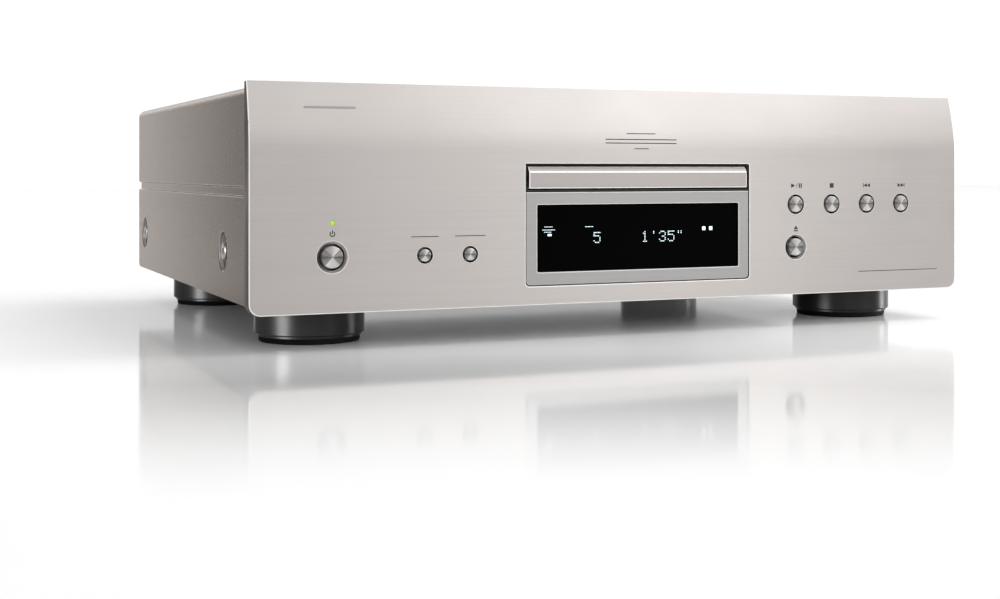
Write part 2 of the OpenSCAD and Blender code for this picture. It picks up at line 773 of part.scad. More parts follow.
// Involute gear outline with one tooth centred on the +X direction
function involute_angle(rb, r) = r <= rb ? 0 : tan(acos(rb / r)) * 180 / PI - acos(rb / r);
function flank_half(m, n, r) = let (rp = m * n / 2, rb = rp * cos(pressure))
    90 / n - backlash / 4 / rp * 180 / PI + involute_angle(rb, rp) - involute_angle(rb, r);
function gear_points(m, n) = let (rp = m * n / 2, rr = rp - dedendum * m, rt = rp + addendum * m,
        rs = [rr, max(rr + 0.05, rp * cos(pressure)), rp, rt])
    [for (i = [0:n - 1]) each [
        for (k = [0:3]) let (a = 360 * i / n - flank_half(m, n, rs[k])) rs[k] * [cos(a), sin(a)],
        for (k = [3:-1:0]) let (a = 360 * i / n + flank_half(m, n, rs[k])) rs[k] * [cos(a), sin(a)]]];

module gear(m, n, turn, z0, z1) {
    translate([0, 0, z0]) rotate([0, 0, turn]) linear_extrude(z1 - z0) polygon(gear_points(m, n));
}

// Rack outline along Y: pitch line on x = 0, teeth towards +X, a gap centred on y = 0
module rack(m, y0, y1, back) {
    pitch = PI * m;
    slope = tan(pressure);
    half = pitch / 4 - backlash / 4;
    first = ceil(y0 / pitch - 0.5);
    last = floor(y1 / pitch - 0.5) - 1;
    polygon([[-back, y0], [-dedendum * m, y0],
        for (i = [first:last]) let (c = (i + 0.5) * pitch) each [
            [-dedendum * m, c - half - dedendum * m * slope],
            [addendum * m, c - half + addendum * m * slope],
            [addendum * m, c + half - addendum * m * slope],
            [-dedendum * m, c + half + dedendum * m * slope]],
        [-dedendum * m, y1], [-back, y1]]);
}

module disc_tray() {
    skirt = 3.5;
    small_pocket_r = 40.6;
    color("dimgray") {
        difference() {
            union() {
                block([-tray_half_w, tray_y0, plate_z0], [tray_half_w, tray_y1, tray_z1]);
                both_sides() block([tray_half_w - skirt, tray_y0, tray_z0], [tray_half_w, tray_y1, plate_z0]);
                block([-tray_half_w, tray_y0, tray_z0], [tray_half_w, tray_y0 + 2.6, plate_z0]);
            }
            rod_z(disc_pocket_r, pocket_z, tray_z1 + 1, 0, disc_y);
            rod_z(small_pocket_r, pocket_z - 0.8, tray_z1 + 1, 0, disc_y);
            rod_z(slot_half_w, tray_z0 - 1, tray_z1 + 1, 0, disc_y);
            block([-slot_half_w, disc_y, tray_z0 - 1], [slot_half_w, tray_y1 + 1, tray_z1 + 1]);
            both_sides() block([25, disc_y + 62, pocket_z], [59, tray_y1 + 1, tray_z1 + 1]);
        }
        translate([rack_x, drive_y, tray_z0 + 0.2]) linear_extrude(plate_z0 - tray_z0 - 0.2)
            rack(drive_m, -12, tray_travel + 0.4, tray_half_w + rack_x - 0.5);
    }
}

module tray_door() {
    half = mouth_half_w - 2;
    z0 = 80.2;
    bevel_z = 89;
    z1 = 91.8;
    front = face_y - 0.4;
    color("silver") along_x(-half, half)
        polygon([[front + 0.5, z0], [front, z0 + 0.5], [front, bevel_z], [front + 1.6, z1 - 0.4],
            [front + 2.2, z1], [tray_y0, z1], [tray_y0, z0]]);
}

module loading_motor() {
    color("silver") difference() {
        union() {
            rod_z(motor_r, loader_floor, pulley_z - 3, motor_x, motor_y);
            rod_z(3, pulley_z - 3, pulley_z - 1.6, motor_x, motor_y);
        }
        rod_z(1 + fit_gap, loader_floor + 3, pulley_z, motor_x, motor_y);
    }
}

// Grooved pulley profile from z0 up, with the belt's seat at radius r
function pulley_profile(bore, r, z0) = [[bore, z0], [r + 1.6, z0], [r + 1.6, z0 + 0.6], [r, z0 + 1.1],
    [r, z0 + 2.5], [r + 1.6, z0 + 3], [r + 1.6, z0 + pulley_h], [bore, z0 + pulley_h]];

module motor_pulley() {
    color("gold") {
        turned_z(motor_x, motor_y, pulley_profile(0, motor_pulley_r, pulley_z));
        rod_z(1, loader_floor + 4, pulley_z + 1, motor_x, motor_y);
    }
}

module belt_loop(grow) {
    dx = motor_x - idler_x;
    dy = motor_y - idler_y;
    d = norm([dx, dy]);
    a = atan2(dy, dx);
    r1 = pulley_r + grow;
    r2 = motor_pulley_r + grow;
    b = acos((r1 - r2) / d);
    translate([idler_x, idler_y]) circle(r1, $fn = 96);
    translate([motor_x, motor_y]) circle(r2);
    polygon([[idler_x, idler_y] + r1 * [cos(a + b), sin(a + b)],
        [idler_x, idler_y] + r1 * [cos(a - b), sin(a - b)],
        [motor_x, motor_y] + r2 * [cos(a - b), sin(a - b)],
        [motor_x, motor_y] + r2 * [cos(a + b), sin(a + b)]]);
}

module drive_belt() {
    color("black") translate([0, 0, pulley_z + 1.2]) linear_extrude(belt_t) difference() {
        belt_loop(belt_gap + belt_t);
        belt_loop(belt_gap);
    }
}

module pulley_gear() {
    bore = post_r + fit_gap;
    color("white") translate([idler_x, idler_y, 0]) difference() {
        union() {
            gear(drive_m, small_n, train_angle + 180 + 180 / small_n, 64.8, 69.4);
            rod_z(3.6, 69.4, pulley_z, 0, 0);
            turned_z(0, 0, pulley_profile(0, pulley_r, pulley_z));
        }
        rod_z(bore, 60, 90, 0, 0);
    }
}

module drive_gear() {
    bore = post_r + fit_gap;
    color("white") translate([drive_x, drive_y, 0]) difference() {
        union() {
            gear(drive_m, wheel_n, train_angle, 65, 69);
            rod_z(5, 69, tray_z0 + 0.2, 0, 0);
            gear(drive_m, pinion_n, 180, tray_z0 + 0.2, plate_z0 - 0.5);
        }
        rod_z(bore, 60, 90, 0, 0);
    }
}

// A straight slot with round ends between two [x, z] points, cut along Y through the cam plate
module cam_slot(a, b, r) {
    d = norm(b - a);
    along_y(cam_y0 - 1, cam_y0 + cam_t + 1) {
        translate(a) rotate(atan2(b[1] - a[1], b[0] - a[0])) translate([0, -r]) square([d, 2 * r]);
        translate(a) circle(r);
        translate(b) circle(r);
    }
}

module cam_slider() {
    pin_gap = 0.35;
    peg_z = 57.5;
    color("ivory") difference() {
        block([-23, cam_y0, 54.9], [36, cam_y0 + cam_t, 75.5]);
        cam_slot([cam_pin_x, hinge_z], [cam_pin_x - cam_travel, hinge_z - cam_drop], cam_pin_r + pin_gap);
        for (x = [-4, 30])
            cam_slot([x - cam_travel, peg_z], [x, peg_z], 1.5 + fit_gap);
    }
}

// ---- traverse ----

module traverse_chassis() {
    post_y0 = -86;
    post_y1 = -10;
    color("gray") difference() {
        union() {
            block([traverse_x0, traverse_y0, traverse_z], [traverse_x1, traverse_y1, traverse_top]);
            for (x = rod_xs, y = [post_y0, post_y1 - 4])
                block([x - 3.4, y, traverse_z], [x + 3.4, y + 4, rod_z + 3]);
            for (x = [[traverse_x0, traverse_x0 + 5], [traverse_x1 - 5, traverse_x1]])
                block([x[0], hinge_y - 4, traverse_z], [x[1], hinge_y + 3, hinge_z + 3]);
            rod_x(hinge_r, -39.5, traverse_x0 + 1, hinge_y, hinge_z);
            rod_x(hinge_r, traverse_x1 - 1, 57.5, hinge_y, hinge_z);
            block([cam_pin_x - 4, traverse_y0, traverse_z], [cam_pin_x + 4, traverse_y0 + 3, hinge_z + 3]);
            rod_y(cam_pin_r, cam_y0 + 0.2, traverse_y0 + 1, cam_pin_x, hinge_z);
            rod_z(2.5, traverse_top, 71.3, sled_gear_x, sled_gear_y);
            rod_z(1, traverse_top, 79.5, sled_gear_x, sled_gear_y);
        }
        block([-16, -84, traverse_z - 1], [16, -16, traverse_top + 1]);
        for (x = rod_xs) rod_y(rod_r + 0.02, post_y0 + 1, post_y1 - 1, x, rod_z);
        rod_z(1.4, traverse_z - 1, traverse_top + 1, sled_motor_x, sled_motor_y);
    }
}

module spindle_motor() {
    color("silver") difference() {
        union() {
            rod_z(12, traverse_top, disc_z - 6, 0, disc_y);
            rod_z(4, disc_z - 6, disc_z - 4.6, 0, disc_y);
        }
        rod_z(1 + fit_gap, traverse_top + 1, disc_z, 0, disc_y);
    }
}

module turntable() {
    color("black") turned_z(0, disc_y, [[0, traverse_top + 1.5], [1, traverse_top + 1.5], [1, disc_z - 4],
        [3, disc_z - 4], [4, disc_z - 2.6], [15.5, disc_z - 2.6], [15.5, disc_z], [7.4, disc_z],
        [7.4, disc_z + 1.4], [5, disc_z + 3.6], [0, disc_z + 3.6]]);
}

module guide_rods() {
    color("silver") for (x = rod_xs) rod_y(rod_r, -85, -11, x, rod_z);
}

lens_y = disc_y + 23;
module pickup_sled() {
    z0 = rod_z - 3.8;
    z1 = rod_z + 3.8;
    color("dimgray") {
        difference() {
            union() {
                block([-29, sled_y0, z0], [25.6, sled_y1, z1]);
                block([-13, sled_y0 - 3.4, z0], [13, sled_y0, z1]);
                both_sides() block([8, lens_y - 4, z1], [10, lens_y + 4, z1 + 3.4]);
            }
            for (x = rod_xs) rod_y(rod_r + fit_gap, sled_y0 - 1, sled_y1 + 1, x, rod_z);
            rod_z(3, z0 - 1, z1 + 1, 0, lens_y);
        }
        translate([sled_rack_x, sled_gear_y, rod_z - 1.6]) linear_extrude(4)
            rack(sled_m, -sled_travel - 4, 4, sled_rack_x - 25.6);
    }
}

module pickup_lens() {
    z0 = rod_z + 4.7;
    color("black") {
        block([-6.5, lens_y - 5, z0], [6.5, lens_y + 5, z0 + 2.6]);
        rod_z(3, z0 + 2.6, z0 + 4.4, 0, lens_y);
    }
}

module sled_motor() {
    color("silver") difference() {
        rod_z(6.5, 59, traverse_z, sled_motor_x, sled_motor_y);
        rod_z(0.75 + fit_gap, 62, traverse_z + 1, sled_motor_x, sled_motor_y);
    }
}

module sled_pinion() {
    color("gold") translate([sled_motor_x, sled_motor_y, 0]) {
        gear(sled_wheel_m, sled_motor_n, sled_angle + 180 + 180 / sled_motor_n, 71.4, 74.6);
        rod_z(0.75, 63, 72, 0, 0);
    }
}

module sled_gear() {
    color("white") translate([sled_gear_x, sled_gear_y, 0]) difference() {
        union() {
            gear(sled_wheel_m, sled_wheel_n, sled_angle, 71.6, 74.4);
            gear(sled_m, sled_pinion_n, 180, 74, rod_z + 2.2);
        }
        rod_z(1 + fit_gap, 70, 90, 0, 0);
    }
}

front_panel();
front_subframe();
display_bezel();
display_window();
display_module();
control_boards();
led_lens();
top_cover();
base_chassis();
rear_panel();
foot_front_left();
foot_front_right();
foot_rear_left();
foot_rear_right();
foot_pads();
cover_screws();
chassis_screws();
power_button();
layer_button();
direct_button();
play_button();
stop_button();
previous_button();
next_button();
eject_button();
mains_inlet();
transformer_cores();
transformer_coils();
power_board();
capacitors();
heatsink();
audio_board();
digital_board();
chips();
phono_jacks();
optical_jack();
optical_shutter();
remote_jacks();
ribbon_cables();
loader_chassis();
loader_dampers();
clamp_bridge();
clamper();
disc_tray();
tray_door();
loading_motor();
motor_pulley();
drive_belt();
pulley_gear();
drive_gear();
cam_slider();
traverse_chassis();
spindle_motor();
turntable();
guide_rods();
pickup_sled();
pickup_lens();
sled_motor();
sled_pinion();
sled_gear();
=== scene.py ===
import json
import math

import bmesh
import bpy
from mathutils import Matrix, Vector


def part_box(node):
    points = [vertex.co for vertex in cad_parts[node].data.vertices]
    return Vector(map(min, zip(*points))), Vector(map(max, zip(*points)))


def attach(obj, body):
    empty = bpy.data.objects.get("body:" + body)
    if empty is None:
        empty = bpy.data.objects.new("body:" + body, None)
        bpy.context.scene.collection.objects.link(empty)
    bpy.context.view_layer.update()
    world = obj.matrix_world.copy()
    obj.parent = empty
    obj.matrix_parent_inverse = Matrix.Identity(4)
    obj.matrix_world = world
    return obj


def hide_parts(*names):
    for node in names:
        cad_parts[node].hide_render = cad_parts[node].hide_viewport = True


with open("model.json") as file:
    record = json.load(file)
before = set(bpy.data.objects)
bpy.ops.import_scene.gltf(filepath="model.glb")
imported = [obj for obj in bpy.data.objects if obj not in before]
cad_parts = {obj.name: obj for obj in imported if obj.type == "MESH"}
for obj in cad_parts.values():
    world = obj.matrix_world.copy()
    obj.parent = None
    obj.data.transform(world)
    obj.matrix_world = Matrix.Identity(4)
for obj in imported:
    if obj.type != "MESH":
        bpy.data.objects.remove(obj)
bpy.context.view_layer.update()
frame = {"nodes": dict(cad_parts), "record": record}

MM = 0.001
NODES = frame["nodes"]
SLOTS = {part["node"]: part["material_slot"] for part in frame["record"]["subparts"]}
BODY_OF = {node: body for body, nodes in frame["record"]["behaviour"]["bodies"].items() for node in nodes}


def span(node):
    """Lowest and highest corner of a CAD node, in millimetres."""
    low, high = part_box(node)
    return low / MM, high / MM


# Places and sizes from the frame, in millimetres
PANEL_LOW, PANEL_HIGH = span("front_panel")
COVER_LOW, COVER_HIGH = span("top_cover")
BEZEL_LOW, BEZEL_HIGH = span("display_bezel")
WINDOW_LOW, WINDOW_HIGH = span("display_window")
DOOR_LOW, DOOR_HIGH = span("tray_door")
LED_LOW, LED_HIGH = span("led_lens")
FACE_Y = PANEL_LOW.y
BACK_Y = PANEL_HIGH.y
HALF_W = PANEL_HIGH.x
PANEL_Z0 = PANEL_LOW.z
PANEL_Z1 = PANEL_HIGH.z

# The opening in the front panel, and the bezel that fills its lower part
MOUTH_GAP = 0.6
MOUTH_HALF = 69.5
MOUTH_Z0 = 28.5
MOUTH_Z1 = DOOR_HIGH.z + 1.6

# The curve of the panel's top: a tight bend into a shallow one
BROW_H = 34.0
BROW_R1 = 75.0
BROW_A1 = math.radians(9)
BROW_R2 = 200.0
BROW_H1 = BROW_R1 * math.sin(BROW_A1)

# Buttons: cap radius, hole radius and countersink radius
BUTTONS = {
    "power_button": (5.5, 6.8, 8.15),
    "layer_button": (3.2, 4.05, 4.35),
    "direct_button": (3.2, 4.05, 4.35),
    "play_button": (4.5, 5.4, 5.7),
    "stop_button": (4.5, 5.4, 5.7),
    "previous_button": (4.5, 5.4, 5.7),
    "next_button": (4.5, 5.4, 5.7),
    "eject_button": (4.9, 6.2, 7.25),
}
SINK_DEPTH = 1.2
FEET = ("foot_front_left", "foot_front_right", "foot_rear_left", "foot_rear_right")


def brow(z):
    """How far the panel's face is set back at height z."""
    h = z - (PANEL_Z1 - BROW_H)
    if h <= 0:
        return 0.0
    if h < BROW_H1:
        return BROW_R1 - math.sqrt(BROW_R1**2 - h * h)
    angle = math.asin(math.sin(BROW_A1) + (h - BROW_H1) / BROW_R2)
    return BROW_R1 * (1 - math.cos(BROW_A1)) + BROW_R2 * (math.cos(BROW_A1) - math.cos(angle))


# ---- camera ----


def make_camera():
    """A level camera low in front of the left corner, as in the photograph."""
    data = bpy.data.cameras.new("camera")
    data.sensor_width = 36.0
    data.lens = 50.57
    data.shift_y = -0.1297
    data.dof.use_dof = False
    camera = bpy.data.objects.new("camera", data)
    camera.location = (-0.3761, -0.8400, 0.0901)
    camera.rotation_euler = (math.radians(90), 0, math.radians(-23.44))
    bpy.context.scene.collection.objects.link(camera)
    bpy.context.scene.camera = camera


# ---- outlines and solids, in millimetres ----

# Where an outline's point (a, b) lies at height h along an axis, or above the panel's curved face
PLACE = {
    "x": lambda a, b, h: Vector((h, a, b)),
    "y": lambda a, b, h: Vector((a, h, b)),
    "z": lambda a, b, h: Vector((a, b, h)),
    "face": lambda a, b, h: Vector((a, FACE_Y + brow(b) + h, b)),
}


def outline(*corners, steps=6):
    """A closed outline whose (a, b, radius) corners are rounded to their radius."""
    points = []
    for i, (a, b, r) in enumerate(corners):
        here = Vector((a, b))
        if r == 0:
            points.append((a, b))
            continue
        before = (Vector(corners[i - 1][:2]) - here).normalized()
        after = (Vector(corners[(i + 1) % len(corners)][:2]) - here).normalized()
        half = before.angle(after) / 2
        centre = here + (before + after).normalized() * (r / math.sin(half))
        first = here + before * (r / math.tan(half)) - centre
        last = here + after * (r / math.tan(half)) - centre
        start = math.atan2(first.y, first.x)
        turn = (math.atan2(last.y, last.x) - start + math.pi) % math.tau - math.pi
        for k in range(steps + 1):
            angle = start + turn * k / steps
            points.append((centre.x + r * math.cos(angle), centre.y + r * math.sin(angle)))
    return points


def rectangle(a0, b0, a1, b1, r=0.0, steps=6):
    return outline((a0, b0, r), (a1, b0, r), (a1, b1, r), (a0, b1, r), steps=steps)


def ring_points(a, b, r, steps):
    angles = [math.tau * i / steps for i in range(steps)]
    return [(a + r * math.cos(angle), b + r * math.sin(angle)) for angle in angles]


def corner_steps(*degrees):
    """How far a rounded corner has risen and run at each angle, as shares of its radius."""
    angles = [math.radians(angle) for angle in degrees]
    return [(math.sin(angle), 1 - math.cos(angle)) for angle in angles]


def prism(axis, points, h0, h1):
    """A solid: an outline drawn out along an axis from h0 to h1."""
    bm = bmesh.new()
    rings = [[bm.verts.new(PLACE[axis](a, b, h)) for a, b in points] for h in (h0, h1)]
    for i in range(len(points)):
        j = (i + 1) % len(points)
        bm.faces.new((rings[0][i], rings[0][j], rings[1][j], rings[1][i]))
    for ring in rings:
        bm.faces.new(ring)
    bmesh.ops.recalc_face_normals(bm, faces=bm.faces)
    return bm


def lathe(axis, centre, profile, steps=96):
    """A solid of revolution: its profile holds (radius, place along the axis) points."""
    bm = bmesh.new()
    rings = []
    for r, h in profile:
        points = [centre] if r == 0 else ring_points(*centre, r, steps)
        rings.append([bm.verts.new(PLACE[axis](a, b, h)) for a, b in points])
    pairs = list(zip(rings, rings[1:]))
    if len(rings[0]) > 1 and len(rings[-1]) > 1:
        pairs.append((rings[-1], rings[0]))
    for low, high in pairs:
        for i in range(steps):
            j = (i + 1) % steps
            loop = [low[i % len(low)], low[j % len(low)], high[j % len(high)], high[i % len(high)]]
            loop = list(dict.fromkeys(loop))
            if len(loop) > 2:
                bm.faces.new(loop)
    bmesh.ops.recalc_face_normals(bm, faces=bm.faces)
    return bm


def joined(solids):
    """Several closed meshes in one."""
    out = bmesh.new()
    for solid in solids:
        mesh = bpy.data.meshes.new("solid")
        solid.to_mesh(mesh)
        solid.free()
        out.from_mesh(mesh)
        bpy.data.meshes.remove(mesh)
    return out


def as_object(name, bm):
    """An object in metres from a mesh in millimetres."""
    bmesh.ops.scale(bm, vec=(MM, MM, MM), verts=bm.verts)
    mesh = bpy.data.meshes.new(name)
    bm.to_mesh(mesh)
    bm.free()
    obj = bpy.data.objects.new(name, mesh)
    bpy.context.scene.collection.objects.link(obj)
    return obj


def combine(obj, solid, operation="DIFFERENCE"):
    """Cuts obj with a second solid, or joins or trims it."""
    tool = as_object("tool", solid)
    modifier = obj.modifiers.new("combine", "BOOLEAN")
    modifier.operation = operation
    modifier.solver = "EXACT"
    modifier.object = tool
    bpy.context.view_layer.update()
    shaped = bpy.data.meshes.new_from_object(obj.evaluated_get(bpy.context.evaluated_depsgraph_get()))
    obj.modifiers.clear()
    obj.data = shaped
    bpy.data.objects.remove(tool)


def soften(obj, width, segments=3, angle=30, cut_and_highlight=False, clamp=True):
    """Rounds edges that are sharper than the angle; on cut edges the rounding gets the piece's second
    material, which paints a highlight on them.
    """
    for polygon in obj.data.polygons:
        polygon.use_smooth = True
    bevel = obj.modifiers.new("edges", "BEVEL")
    bevel.width = width * MM
    bevel.segments = segments
    bevel.limit_method = "ANGLE"
    bevel.angle_limit = math.radians(angle)
    bevel.miter_outer = "MITER_ARC"
    bevel.use_clamp_overlap = clamp
    # The rounding takes the near-white edge material: a painted highlight
    if cut_and_highlight:
        bevel.material = 1
    normals = obj.modifiers.new("normals", "WEIGHTED_NORMAL")
    normals.weight = 75
    normals.keep_sharp = True


def weigh_edges(obj, weight_of, angle=30):
    """Gives each sharp edge its own share of the rounding, from weight_of(edge middle in mm)."""
    bm = bmesh.new()
    bm.from_mesh(obj.data)
    layer = bm.edges.layers.float.new("bevel_weight_edge")
    for edge in bm.edges:
        if len(edge.link_faces) == 2 and edge.calc_face_angle() > math.radians(angle):
            edge[layer] = weight_of((edge.verts[0].co + edge.verts[1].co) / (2 * MM))
    bm.to_mesh(obj.data)
    bm.free()
    obj.modifiers["edges"].limit_method = "WEIGHT"


def piece(obj, material, body, slot, *stands_for):
    """Gives a new piece its material and body, and says which CAD nodes it stands for. The slot is not used.
    """
    obj.data.materials.clear()
    obj.data.materials.append(material)
    obj.data.materials.append(CUT_EDGE_AND_HIGHLIGHT)
    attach(obj, body)
    if stands_for:
        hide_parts(*stands_for)
    return obj


# ---- materials ----


def value_ramp(tree, source, stops):
    """A curve from (place, value) stops, with places from 0 to 1."""
    ramp = tree.nodes.new("ShaderNodeValToRGB")
    elements = ramp.color_ramp.elements
    while len(elements) < len(stops):
        elements.new(0.5)
    for element, (place, value) in zip(elements, stops):
        element.position = place
        element.color = (value, value, value, 1.0)
    tree.links.new(source, ramp.inputs[0])
    return ramp.outputs[0]


class Shader:
    """A principled material with short helpers for its pattern."""

    def __init__(self, name, color, rough, metallic=0.0, **settings):
        self.material = bpy.data.materials.new(name)
        self.material.use_nodes = True
        self.tree = self.material.node_tree
        self.base = self.tree.nodes["Principled BSDF"]
        self.place = self.tree.nodes.new("ShaderNodeTexCoord").outputs["Object"]
        self.color = color
        self.normal = None
        self.set("Base Color", (*color, 1.0))
        self.set("Roughness", rough)
        self.set("Metallic", metallic)
        for key, value in settings.items():
            self.set(key.replace("_", " "), value)

    def set(self, socket, value):
        self.base.inputs[socket].default_value = value

    def node(self, kind, **inputs):
        made = self.tree.nodes.new(kind)
        for key, value in inputs.items():
            socket = made.inputs[key.replace("_", " ")]
            if isinstance(value, bpy.types.NodeSocket):
                self.tree.links.new(value, socket)
            else:
                socket.default_value = value
        return made

    def mixed(self, a, b, share):
        """A mix of two values, with this share of the second."""
        made = self.node("ShaderNodeMix", Factor=share, A=a, B=b)
        return made.outputs["Result"]

    def noise(self, scale, detail=2.0, stretch=(1, 1, 1), shift=0.0):
        mapping = self.node("ShaderNodeMapping", Vector=self.place, Scale=stretch, Location=(shift,) * 3)
        made = self.node("ShaderNodeTexNoise", Vector=mapping.outputs[0], Scale=scale, Detail=detail)
        return made.outputs["Fac"]

    def spread(self, value, low, high, edge=0.28):
        """A noise value laid out between low and high."""
        made = self.node("ShaderNodeMapRange", Value=value)
        limits = {"From Min": edge, "From Max": 1 - edge, "To Min": low, "To Max": high}
        for key, number in limits.items():
            made.inputs[key].default_value = number
        return made.outputs[0]

    def tint(self, value, dark, light):
        """Base colour between two gains of the material's own colour."""
        ramp = self.tree.nodes.new("ShaderNodeValToRGB")
        ramp.color_ramp.elements[0].position = 0.28
        ramp.color_ramp.elements[1].position = 0.72
        for element, gain in zip(ramp.color_ramp.elements, (dark, light)):
            element.color = (*(min(1.0, c * gain) for c in self.color), 1.0)
        self.tree.links.new(value, ramp.inputs[0])
        self.tree.links.new(ramp.outputs[0], self.base.inputs["Base Color"])

    def roughen(self, value, low, high):
        self.tree.links.new(self.spread(value, low, high), self.base.inputs["Roughness"])

    def bump(self, height, distance):
        made = self.node("ShaderNodeBump", Height=height, Distance=distance, Strength=1.0)
        if self.normal is not None:
            self.tree.links.new(self.normal, made.inputs["Normal"])
        self.normal = made.outputs[0]
        self.tree.links.new(self.normal, self.base.inputs["Normal"])

    def tangent(self, axis):
        made = self.tree.nodes.new("ShaderNodeTangent")
        made.direction_type = "RADIAL"
        made.axis = axis
        self.tree.links.new(made.outputs[0], self.base.inputs["Tangent"])


def brushed(name, color, rough, along="x", anisotropic=0.7, depth=1.5e-6):
    """Metal brushed in one direction, with long strokes of uneven depth."""
    s = Shader(name, color, rough, 1.0, Anisotropic=anisotropic)
    s.tangent("X" if along == "x" else "Z")
    long, fine = 9.0, 900.0
    stretch = tuple(long if axis == along else fine for axis in "xyz")
    coarse = s.noise(1.0, 4.0, stretch)
    strokes = s.noise(1.0, 2.0, tuple(3.7 * v for v in stretch), 3.1)
    grain = s.mixed(coarse, strokes, 0.45)
    cloud = s.noise(18.0, 2.0, shift=1.7)
    s.tint(grain, 0.955, 1.04)
    s.roughen(s.mixed(grain, cloud, 0.4), rough - 0.06, rough + 0.06)
    s.bump(grain, depth)
    return s.material


# Painted highlights and shade round a turned face, by the share of a turn: dark at both sides, bright above
# and below. It is part of the base colour, so it doesn't move with the view.
PAINTED_HIGHLIGHT_FAN = [
    (0.0, 0.24), (0.05, 0.42), (0.12, 0.45), (0.14, 1.0), (0.19, 0.85), (0.31, 0.9), (0.365, 0.8),
    (0.385, 0.38), (0.45, 0.45), (0.5, 0.22), (0.54, 0.55), (0.59, 0.55), (0.615, 0.35), (0.64, 1.0),
    (0.7, 0.9), (0.78, 0.68), (0.865, 0.58), (0.885, 0.32), (0.94, 0.5), (1.0, 0.24)]


def turned(name, color, rough, axis, anisotropic=0.85):
    """Metal turned on a lathe: its strokes run round the axis, and painted highlights and shade fan out from
    the middle.
    """
    s = Shader(name, color, rough, 1.0, Anisotropic=anisotropic, Anisotropic_Rotation=0.25)
    s.tangent(axis)
    cloud = s.noise(700.0, 3.0)
    generated = s.tree.nodes.new("ShaderNodeTexCoord").outputs["Generated"]
    centred = s.node("ShaderNodeMapping", Vector=generated, Location=(-0.5, -0.5, -0.5))
    split = s.node("ShaderNodeSeparateXYZ", Vector=centred.outputs[0])
    flat = s.node("ShaderNodeCombineXYZ", X=split.outputs["X"], Y=split.outputs["Z"])
    turn = s.node("ShaderNodeTexGradient", Vector=flat.outputs[0])
    turn.gradient_type = "RADIAL"
    # Painted highlights and shade by the angle round the middle, multiplied into the base colour below
    painted_highlights = value_ramp(s.tree, turn.outputs["Fac"], PAINTED_HIGHLIGHT_FAN)
    s.tint(cloud, 0.97, 1.03)
    shaded = s.node("ShaderNodeVectorMath")
    shaded.operation = "MULTIPLY"
    s.tree.links.new(s.base.inputs["Base Color"].links[0].from_socket, shaded.inputs[0])
    s.tree.links.new(painted_highlights, shaded.inputs[1])
    s.tree.links.new(shaded.outputs[0], s.base.inputs["Base Color"])
    s.roughen(cloud, rough - 0.03, rough + 0.03)
    s.bump(cloud, 3e-7)
    return s.material


def spun(name, color, rough):
    """Black lacquer on turned metal: fine strokes round an upright axis stretch the highlights."""
    s = Shader(name, color, rough, Anisotropic=0.6, Specular_IOR_Level=0.4)
    s.tangent("Z")
    s.set("Anisotropic Rotation", 0.25)
    strokes = s.noise(1.0, 3.0, (30.0, 30.0, 2600.0))
    cloud = s.noise(60.0, 2.0, shift=1.3)
    s.tint(strokes, 0.8, 1.25)
    s.roughen(s.mixed(strokes, cloud, 0.5), rough - 0.05, rough + 0.06)
    s.bump(strokes, 1.2e-6)
    return s.material


def metal(name, color, rough, grain=260.0, depth=4e-6, mottled=0.06):
    """Plain sheet or turned metal with a faint rolled mottle."""
    s = Shader(name, color, rough, 1.0)
    cloud = s.noise(45.0, 3.0)
    fine = s.noise(grain, 3.0, (1, 1, 4), 2.0)
    s.tint(s.mixed(cloud, fine, 0.5), 1 - mottled, 1 + mottled)
    s.roughen(s.mixed(cloud, fine, 0.5), rough - 0.07, rough + 0.08)
    s.bump(fine, depth)
    return s.material


def plastic(name, color, rough, grain=2400.0, depth=9e-6, coat=0.0):
    """Moulded plastic with a fine grain and a slight unevenness."""
    s = Shader(name, color, rough, Coat_Weight=coat, Coat_Roughness=0.05)
    fine = s.noise(grain, 2.0)
    cloud = s.noise(40.0, 3.0, shift=2.2)
    s.tint(cloud, 0.85, 1.18)
    s.roughen(fine, rough - 0.06, rough + 0.07)
    s.bump(fine, depth)
    return s.material


# What a metallic surface keeps of the light that grazes it
EDGE_TINT = (0.90, 0.83, 0.78, 1.0)


def paint(name, color, rough, metallic, coat):
    """Sprayed paint: metallic fleck under a light orange peel."""
    s = Shader(name, color, rough, metallic, Coat_Weight=coat, Coat_Roughness=0.25, Specular_Tint=EDGE_TINT)
    fleck = s.noise(5200.0, 1.0)
    peel = s.noise(700.0, 2.0, shift=4.0)
    s.tint(fleck, 0.95, 1.05)
    s.roughen(peel, rough - 0.03, rough + 0.04)
    s.bump(s.mixed(fleck, peel, 0.6), 7e-6)
    return s.material


def rubber(name, color, rough=0.75):
    s = Shader(name, color, rough, Specular_IOR_Level=0.15)
    grain = s.noise(1500.0, 4.0)
    s.tint(grain, 0.75, 1.3)
    s.roughen(grain, rough - 0.12, rough + 0.12)
    s.bump(grain, 2.5e-5)
    return s.material


def glow(name, color, strength):
    """A lit lamp or display segment, with a faint cell pattern."""
    s = Shader(name, color, 0.35, Emission_Strength=strength)
    s.set("Emission Color", (*color, 1.0))
    cell = s.noise(2600.0, 1.0)
    s.tint(cell, 0.88, 1.1)
    s.roughen(cell, 0.3, 0.42)
    s.bump(cell, 2e-6)
    return s.material


def glassy(name, color, rough, shine=0.5):
    """Smooth dark glass or acrylic, with the faintest waviness and dust."""
    s = Shader(name, color, rough, Specular_IOR_Level=shine)
    wave = s.noise(14.0, 1.0)
    dust = s.noise(900.0, 3.0, shift=5.0)
    s.tint(dust, 0.9, 1.15)
    s.roughen(dust, rough, rough + 0.03)
    s.bump(wave, 2e-5)
    return s.material


